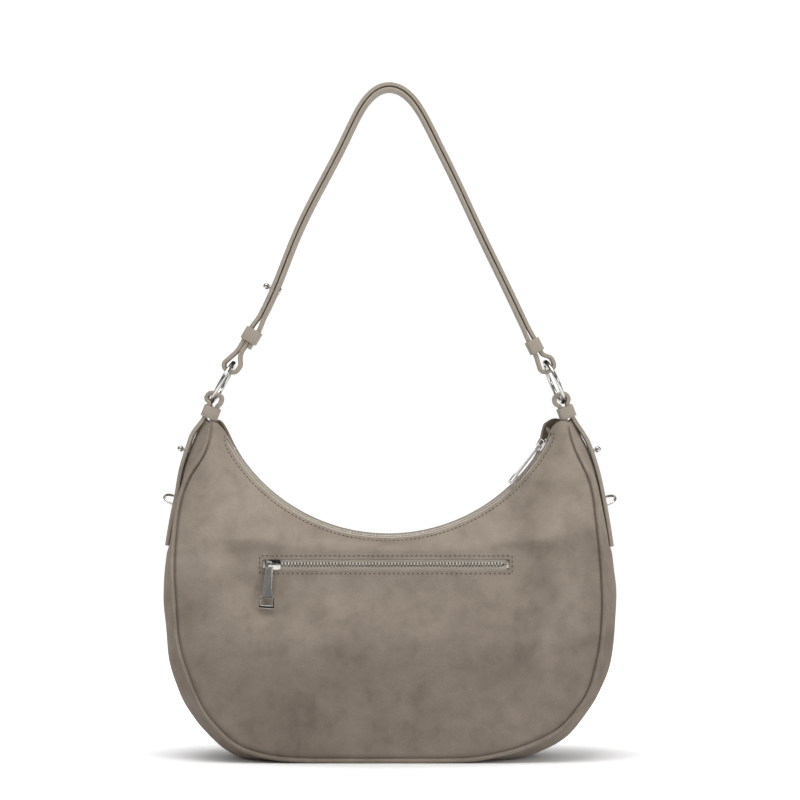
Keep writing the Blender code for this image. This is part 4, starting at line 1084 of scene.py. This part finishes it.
def makePly(nodeName, body, line, halfThick, halfWide, step):
    # a strap of leather along a line of (x, z) points; corners of the line are eased
    smooth = SmoothLine(line, 40 * len(line))
    count = max(round(smooth.length / step), 8)
    corner = leatherCut["corner"]
    section = roundedLoop(halfThick, halfWide, corner, 3)
    edges = []

    def place(n, m):
        q, y = section[m]
        edges.append(1.0 if abs(y) > halfWide - corner * 1.05 else 0.0)
        flat = smooth.at(n / count) + smooth.normal(n / count) * q
        return Vector((flat.x, y, flat.y))

    leatherPiece(nodeName, body, count, len(section), place, edges)


def makeKeeper(nodeName, body, middle, way, halfThick, halfWide, length):
    # a band of leather closed round the plies
    across = Vector((-way.y, way.x))
    wall, rub = leatherCut["keeperWall"], leatherCut["keeperRub"]
    halfThick, halfWide = halfThick + leatherCut["ease"], halfWide + leatherCut["ease"]
    loop = roundedLoop(halfThick + wall / 2, halfWide + wall / 2, leatherCut["keeperCorner"] + wall / 2, 6)
    around = len(loop)
    section = roundedLoop(wall / 2, length / 2, rub, 3)
    edges = []

    def place(n, m):
        n %= around
        turn = (loop[(n + 1) % around] - loop[n - 1]).normalized()
        grow, along = section[m]
        edges.append(1.0 if abs(along) > length / 2 - rub - 0.02 * mm else 0.0)
        flat = loop[n] + Vector((turn.y, -turn.x)) * grow
        at = middle + across * flat.x + way * along
        return Vector((at.x, flat.y, at.y))

    leatherPiece(nodeName, body, around, len(section), place, edges, fill=False)


def turnMetal(nodeName, body, profile, base, axis, steps=28):
    turn = Vector((0, 0, 1)).rotation_difference(Vector(axis)).to_matrix().to_4x4()
    spot = Matrix.Translation(Vector(base)) @ turn

    def place(n, m):
        radius, height = profile[n]
        angle = math.tau * m / steps
        return spot @ Vector((radius * math.cos(angle), radius * math.sin(angle), height))

    made = rolledGrid(f"{nodeName}_metal", len(profile) - 1, steps, place)
    dress(made, nickel, body, nodeName)


def makeStud(name, face, out, through, body):
    # ball, neck and flange outside, a screw head with a small round hollow behind
    ball, neck, flange, rub = (studShape[key] for key in ("ball", "neck", "flange", "rub"))
    face, axis, top = (face.x, 0, face.y), (out.x, 0, out.y), studShape["flangeHeight"]
    ballAt = top + studShape["neckHeight"] + ball * 0.85
    profile = [(0, -through), (neck, -through), (neck, rub), (flange, rub), (flange, top - rub),
               (flange - rub, top), (neck, top + 0.1 * mm)]
    start = math.asin(neck * 0.8 / ball)
    for n in range(15):
        turn = start + (math.pi - start) * n / 14
        profile.append((ball * math.sin(turn), ballAt - ball * math.cos(turn)))
    turnMetal(name, body, profile, face, axis)
    base, disc, deep = -through - rub, studShape["screw"], studShape["screwHeight"]
    profile = [(0, base), (disc, base), (disc, base - deep * 0.6), (disc * 0.92, base - deep * 0.9),
               (disc * 0.8, base - deep), (0.6 * mm, base - deep), (0.5 * mm, base - deep * 0.6),
               (0, base - deep * 0.6)]
    turnMetal(f"{name}_screw", body, profile, face, axis)


def makeHalfLoop(side, name):
    # a bent wire whose feet go into the tab, leaned down and twisted as it hangs
    shape, ply = halfLoopShape, tabShape["ply"] / 2
    half, tilt, twist = shape["half"], shape["tilt"], shape["twist"]
    foot, out = onTab(side, 3, 0.25)
    leaned = Vector((
        out.x * math.cos(tilt) - side * out.y * math.sin(tilt),
        out.y * math.cos(tilt) + side * out.x * math.sin(tilt)))
    aside = Vector((-leaned.y, leaned.x)) * side

    def at(y, reach):
        flat = foot + out * min(reach, ply) + leaned * max(reach - ply, 0.0)
        flat += aside * y * math.sin(twist)
        return Vector((flat.x, y * math.cos(twist), flat.y))

    bend = shape["reach"] + ply - half
    legs = (-ply + 0.3 * mm, ply, bend)
    points = [at(-half, reach) for reach in legs]
    for n in range(1, shape["steps"]):
        turn = math.pi * n / shape["steps"]
        points.append(at(-half * math.cos(turn), bend + half * math.sin(turn)))
    points += [at(half, reach) for reach in legs[::-1]]
    rise = points[(len(points) - 1) // 2] - (points[0] + points[-1]) / 2
    plane = (points[-1] - points[0]).normalized().cross(rise).normalized()
    made = tube(f"half_loop_{name}_metal", points, [shape["wire"]] * len(points), 14, plane)
    dress(made, nickel, "bag", f"half_loop_{name}", 60)


def makeTab(side, name):
    shape, lean = tabShape, math.radians(tabShape["lean"])
    centre = Vector((ringShape["upperX"] + side * ringShape["ringX"], ringShape["ringZ"]))
    down = Vector((side * math.sin(lean), -math.cos(lean)))
    inward = Vector((-side * math.cos(lean), -math.sin(lean)))
    halfPly, keep = shape["ply"] / 2, shape["keeperLength"]
    keeperEnds = (shape["keeperStart"] - shape["keeperLead"], shape["keeperStart"] + keep + shape["keeperLead"])
    line = outerTabLine(side)[::-1]
    line += [centre + down * a - inward * shape["offset"] for a in keeperEnds[::-1]]
    line += bendLine(centre, down, inward, shape["loopTop"], *shape[f"{name}Loop"],
                     shape["loopCorner"], shape["loopShoulder"])
    line += [centre + down * a + inward * shape["offset"] for a in keeperEnds]
    line += [centre + down * a + inward * q for a, q in shape["tail"]]
    makePly(f"side_tab_{name}", "bag", line, halfPly, shape["halfWidth"], shape["step"])
    makeKeeper(f"tab_keeper_{name}", "bag", centre + down * (shape["keeperStart"] + keep / 2), down,
               shape["offset"] + halfPly, shape["halfWidth"], keep)
    face, out = onTab(side, 1, 0.25)
    makeStud(f"tab_stud_{name}", face + out * halfPly, out, shape["ply"], "bag")


for side, name in ((-1, "left"), (1, "right")):
    makeRing(side, name)
    makeTab(side, name)
    makeHalfLoop(side, name)
print("rings and tabs made")


# Strap: one belt doubled from ring to ring

strapShape = {
    "ply": 3.0 * mm,
    "halfWidth": 10 * mm,
    "rise": 235.6 * mm,
    "pitch": 3.9 * mm,
    "step": 2.0 * mm,
    "stations": 5 * mm,
    "loopBottom": 9.5 * mm,
    "loopOuter": 7.1 * mm,
    "loopInner": 4.7 * mm,
    "loopCorner": 4.5 * mm,
    "shoulder": 18.5 * mm,
    "split": 26 * mm,
    "leftStack": 3.3 * mm,
    "leftKeeper": 43 * mm,
    "leftMerge": 60 * mm,
    "leftTip": 33 * mm,
    "rightKeeper": 32.5 * mm,
    "keeperLead": 7.6 * mm,
    "rightSpread": 2.4 * mm,
    "rightMerge": 48 * mm,
    "keeperLength": 10.8 * mm,
    "studAt": 84 * mm,
}
strapShares = [
    (-1.000, 0.0), (-0.910, 0.0815), (-0.802, 0.182), (-0.695, 0.300), (-0.533, 0.5225),
    (-0.333, 0.738), (-0.160, 0.923), (-0.085, 0.977), (0.012, 1.0), (0.108, 0.968),
    (0.196, 0.903), (0.376, 0.711), (0.541, 0.515), (0.693, 0.340), (0.822, 0.190),
    (0.914, 0.0836), (1.000, 0.0),
]


def easedLine(line, count, passes):
    # small kinks evened out: drawn in, then let out again, so that the bend keeps its size
    points = [line.at(n / count) for n in range(count + 1)]
    for n in range(2 * passes):
        pull = 0.5 if n % 2 == 0 else -0.52
        inner = [here + ((before + after) / 2 - here) * pull
                 for before, here, after in zip(points, points[1:], points[2:])]
        points = [points[0], *inner, points[-1]]
    return SmoothLine(points)


belt = easedLine(SmoothLine([
    (ringShape["upperX"] + x * ringShape["ringX"], ringShape["ringZ"] + z * strapShape["rise"])
    for x, z in strapShares]), 48, 12)


def beltShare(distance, side):
    return distance / belt.length if side < 0 else 1 - distance / belt.length


def beltAt(distance, side):
    return belt.at(beltShare(distance, side))


def beltOut(distance, side):
    return belt.normal(beltShare(distance, side))


def readStops(distance, stops):
    if distance <= stops[0][0]:
        return stops[0][1]
    for (low, first), (high, last) in zip(stops, stops[1:]):
        if distance <= high:
            return first + (last - first) * smoothStep((distance - low) / (high - low))
    return stops[-1][1]


def plyRun(side, start, end, stops):
    # the stops say how far off the belt's line the ply lies at each distance from the ring
    count = max(round(abs(end - start) / strapShape["stations"]), 1)
    distances = [start + (end - start) * n / count for n in range(count + 1)]
    return [beltAt(d, side) + beltOut(d, side) * readStops(d, stops) for d in distances]


def beltLoop(side):
    shape = strapShape
    centre = beltAt(0.0, side)
    out = beltOut(shape["shoulder"], side)
    way = (beltAt(shape["shoulder"], side) - centre).normalized()
    halves = (shape["loopInner"], shape["loopOuter"])[::-side]
    return bendLine(centre, way, -side * out, shape["loopBottom"], *halves,
                    shape["loopCorner"], shape["shoulder"])[1:-1]


def makeStrap():
    s = strapShape
    half, free, keep, lead = belt.length / 2, s["pitch"] / 2, s["keeperLength"], s["keeperLead"]
    keeperEnd = s["leftKeeper"] + keep * 0.5
    shoulder, stack, spread = s["shoulder"], s["leftStack"], s["rightSpread"]
    right = (s["rightKeeper"] - lead, s["rightKeeper"] + lead)
    outerLeft = [(shoulder, s["loopOuter"]), (s["split"], stack), (keeperEnd, stack), (s["leftMerge"], free)]
    outerRight = [(shoulder, s["loopOuter"]), (right[0], spread), (right[1], spread), (s["rightMerge"], free)]
    innerRight = [(shoulder, -s["loopInner"]), (right[0], -spread), (right[1], -spread),
                  (s["rightMerge"], -free)]
    line = plyRun(-1, s["leftKeeper"] + keep * 0.3, shoulder, [(shoulder, -s["loopInner"]), (s["split"], 0.0)])
    line += beltLoop(-1)
    line += plyRun(-1, shoulder, half, outerLeft)[1:]
    line += plyRun(1, half, shoulder, outerRight)[1:]
    line += beltLoop(1)
    line += plyRun(1, shoulder, half, innerRight)[1:]
    line += plyRun(-1, half, s["leftTip"], [(keeperEnd, -stack), (s["leftMerge"], -free)])[1:]
    makePly("strap", "strap", line, s["ply"] / 2, s["halfWidth"], s["step"])
    middle, out, through = beltAt(s["studAt"], -1), beltOut(s["studAt"], -1), s["pitch"] + s["ply"]
    makeStud("strap_stud", middle + out * (through / 2), out, through, "strap")
    for name, at, side, apart, body in (("strap_keeper_left", s["leftKeeper"], -1, stack, "left_keeper"),
                                        ("strap_keeper_right", s["rightKeeper"], 1, spread, "strap")):
        out = beltOut(at, side)
        makeKeeper(name, body, beltAt(at, side), Vector((out.y, -out.x)),
                   apart + s["ply"] / 2, s["halfWidth"], keep)


makeStrap()
print("strap made")


# Studio: pale floor rolled up behind, one big soft light above and a weaker one each side

studio = {
    "floorReach": 4.0,
    "wallAt": 3.4,
    "wallHeight": 5.0,
    "bend": 1.0,
    "glow": 0.58,
    "paintedShadowOval": (1 / 0.255, 1 / 0.12, 1.0),      # painted shadow: the lift fades out in this oval round the bag, so the floor shows darker there
    "room": 0.36,
    "roller": 3.0,               # roller marks in the paint, about 330 mm
    "felt": 90.0,                # mottling of the cards, about 11 mm
    "softboxes": {               # place, aim, size and power
        "top": ((-0.2, -0.62, 2.2), (0, 0, 0.2), (1.6, 1.2), 32),
        "left": ((-1.7, -1.6, 1.0), (0, 0, 0.25), (0.8, 1.2), 2.6),
        "right": ((1.9, -1.5, 0.9), (0, 0, 0.25), (0.7, 1.2), 19.5),
    },
    "cardsAway": 2.45,
    "cards": ((2, 17, 1.7), (-55, 14, 2.2), (52, 14, 2.2), (105, 16, 2.2), (-110, 16, 2.2)),
}


def paleFloor():
    # painted studio cove: flat white that keeps the shadow; camera and mirror rays see it lifted, and the lift
    # fades out in an oval round the bag, a painted shadow
    made, tree, shader, place = newMaterial("whiteCovePaint")
    roller = addNode(tree, "TexNoise", "Fac", {"Vector": place, "Scale": studio["roller"], "Detail": 2.0})
    colour = addNode(tree, "ValToRGB", "Color", {"Fac": roller}, [(0.3, grey(0.86)), (0.7, grey(0.88))])
    rays = addNode(tree, "LightPath", "Is Camera Ray").node.outputs
    seen = addNode(tree, "Math", 0, {0: rays["Is Camera Ray"], 1: rays["Is Glossy Ray"]}, operation="ADD")
    seen = addNode(tree, "Math", 0, {0: seen, 1: rays["Is Transmission Ray"]}, operation="ADD", use_clamp=True)
    # painted shadow: an oval round the bag where the lift fades out
    centred = addNode(tree, "Mapping", "Vector", {"Vector": place, "Scale": studio["paintedShadowOval"]})
    paintedShadowFade = addNode(tree, "TexGradient", "Fac", {"Vector": centred}, gradient_type="SPHERICAL")
    paintedShadowMask = addNode(tree, "ValToRGB", "Color", {"Fac": paintedShadowFade}, [(0.0, grey(1.0)), (0.55, grey(0.0))])
    lift = addNode(tree, "Math", 0, {0: seen, 1: studio["glow"]}, operation="MULTIPLY")
    lift = addNode(tree, "Math", 0, {0: lift, 1: paintedShadowMask}, operation="MULTIPLY")
    connect(tree, shader, {
        "Base Color": colour, "Roughness": 1.0, "Specular IOR Level": 0.0,
        "Emission Color": grey(1.0), "Emission Strength": lift})
    return made


def covePlace(a, b):
    # floor, a wide bend and the wall behind
    reach, wall, bend = studio["floorReach"], studio["wallAt"], studio["bend"]
    x = (a - 0.5) * 2 * reach
    if b < 0.5:
        return Vector((x, -reach + (wall - bend + reach) * b / 0.5, 0.0))
    if b < 0.75:
        turn = (b - 0.5) / 0.25 * math.pi / 2
        return Vector((x, wall - bend + bend * math.sin(turn), bend - bend * math.cos(turn)))
    return Vector((x, wall, bend + (studio["wallHeight"] - bend) * (b - 0.75) / 0.25))


cove = mappedGrid("studio_cove", 8, 32, covePlace)
cove.data.materials.append(paleFloor())
smoothShade(cove, 60)


def softbox(name, place, aim, size, power):
    data = bpy.data.lights.new(name, "AREA")
    data.shape = "RECTANGLE"
    data.size, data.size_y = size
    data.energy = power
    lamp = bpy.data.objects.new(name, data)
    lamp.location = place
    lamp.rotation_euler = (Vector(aim) - Vector(place)).to_track_quat("-Z", "Y").to_euler()
    intoScene(lamp)


def blackCard(name, turn, halfAngle, tall):
    # a black flag that only mirror rays see, for the dark streaks in the metal
    def cardPlace(a, b):
        angle, away = math.radians(turn + halfAngle * (2 * a - 1)), studio["cardsAway"]
        return Vector((away * math.sin(angle), -away * math.cos(angle), 0.02 + tall * b))

    card = mappedGrid(name, 6, 2, cardPlace)
    made, tree, shader, place = newMaterial(f"{name}_felt")
    felt = addNode(tree, "TexNoise", "Fac", {"Vector": place, "Scale": studio["felt"]})
    dark = addNode(tree, "ValToRGB", "Color", {"Fac": felt}, [(0.3, grey(0.010)), (0.7, grey(0.02))])
    connect(tree, shader, {"Base Color": dark, "Roughness": 1.0})
    card.data.materials.append(made)
    card.visible_camera = card.visible_diffuse = card.visible_shadow = False


for name, values in studio["softboxes"].items():
    softbox(f"{name}_softbox", *values)
for n, values in enumerate(studio["cards"]):
    blackCard(f"black_card_{n}", *values)

world = bpy.data.worlds.new("studio_room")
bpy.context.scene.world = world
world.use_nodes = True
connect(world.node_tree, world.node_tree.nodes["Background"], {"Color": grey(1.0), "Strength": studio["room"]})
bpy.context.scene.view_settings.view_transform = "Standard"
print("studio set")
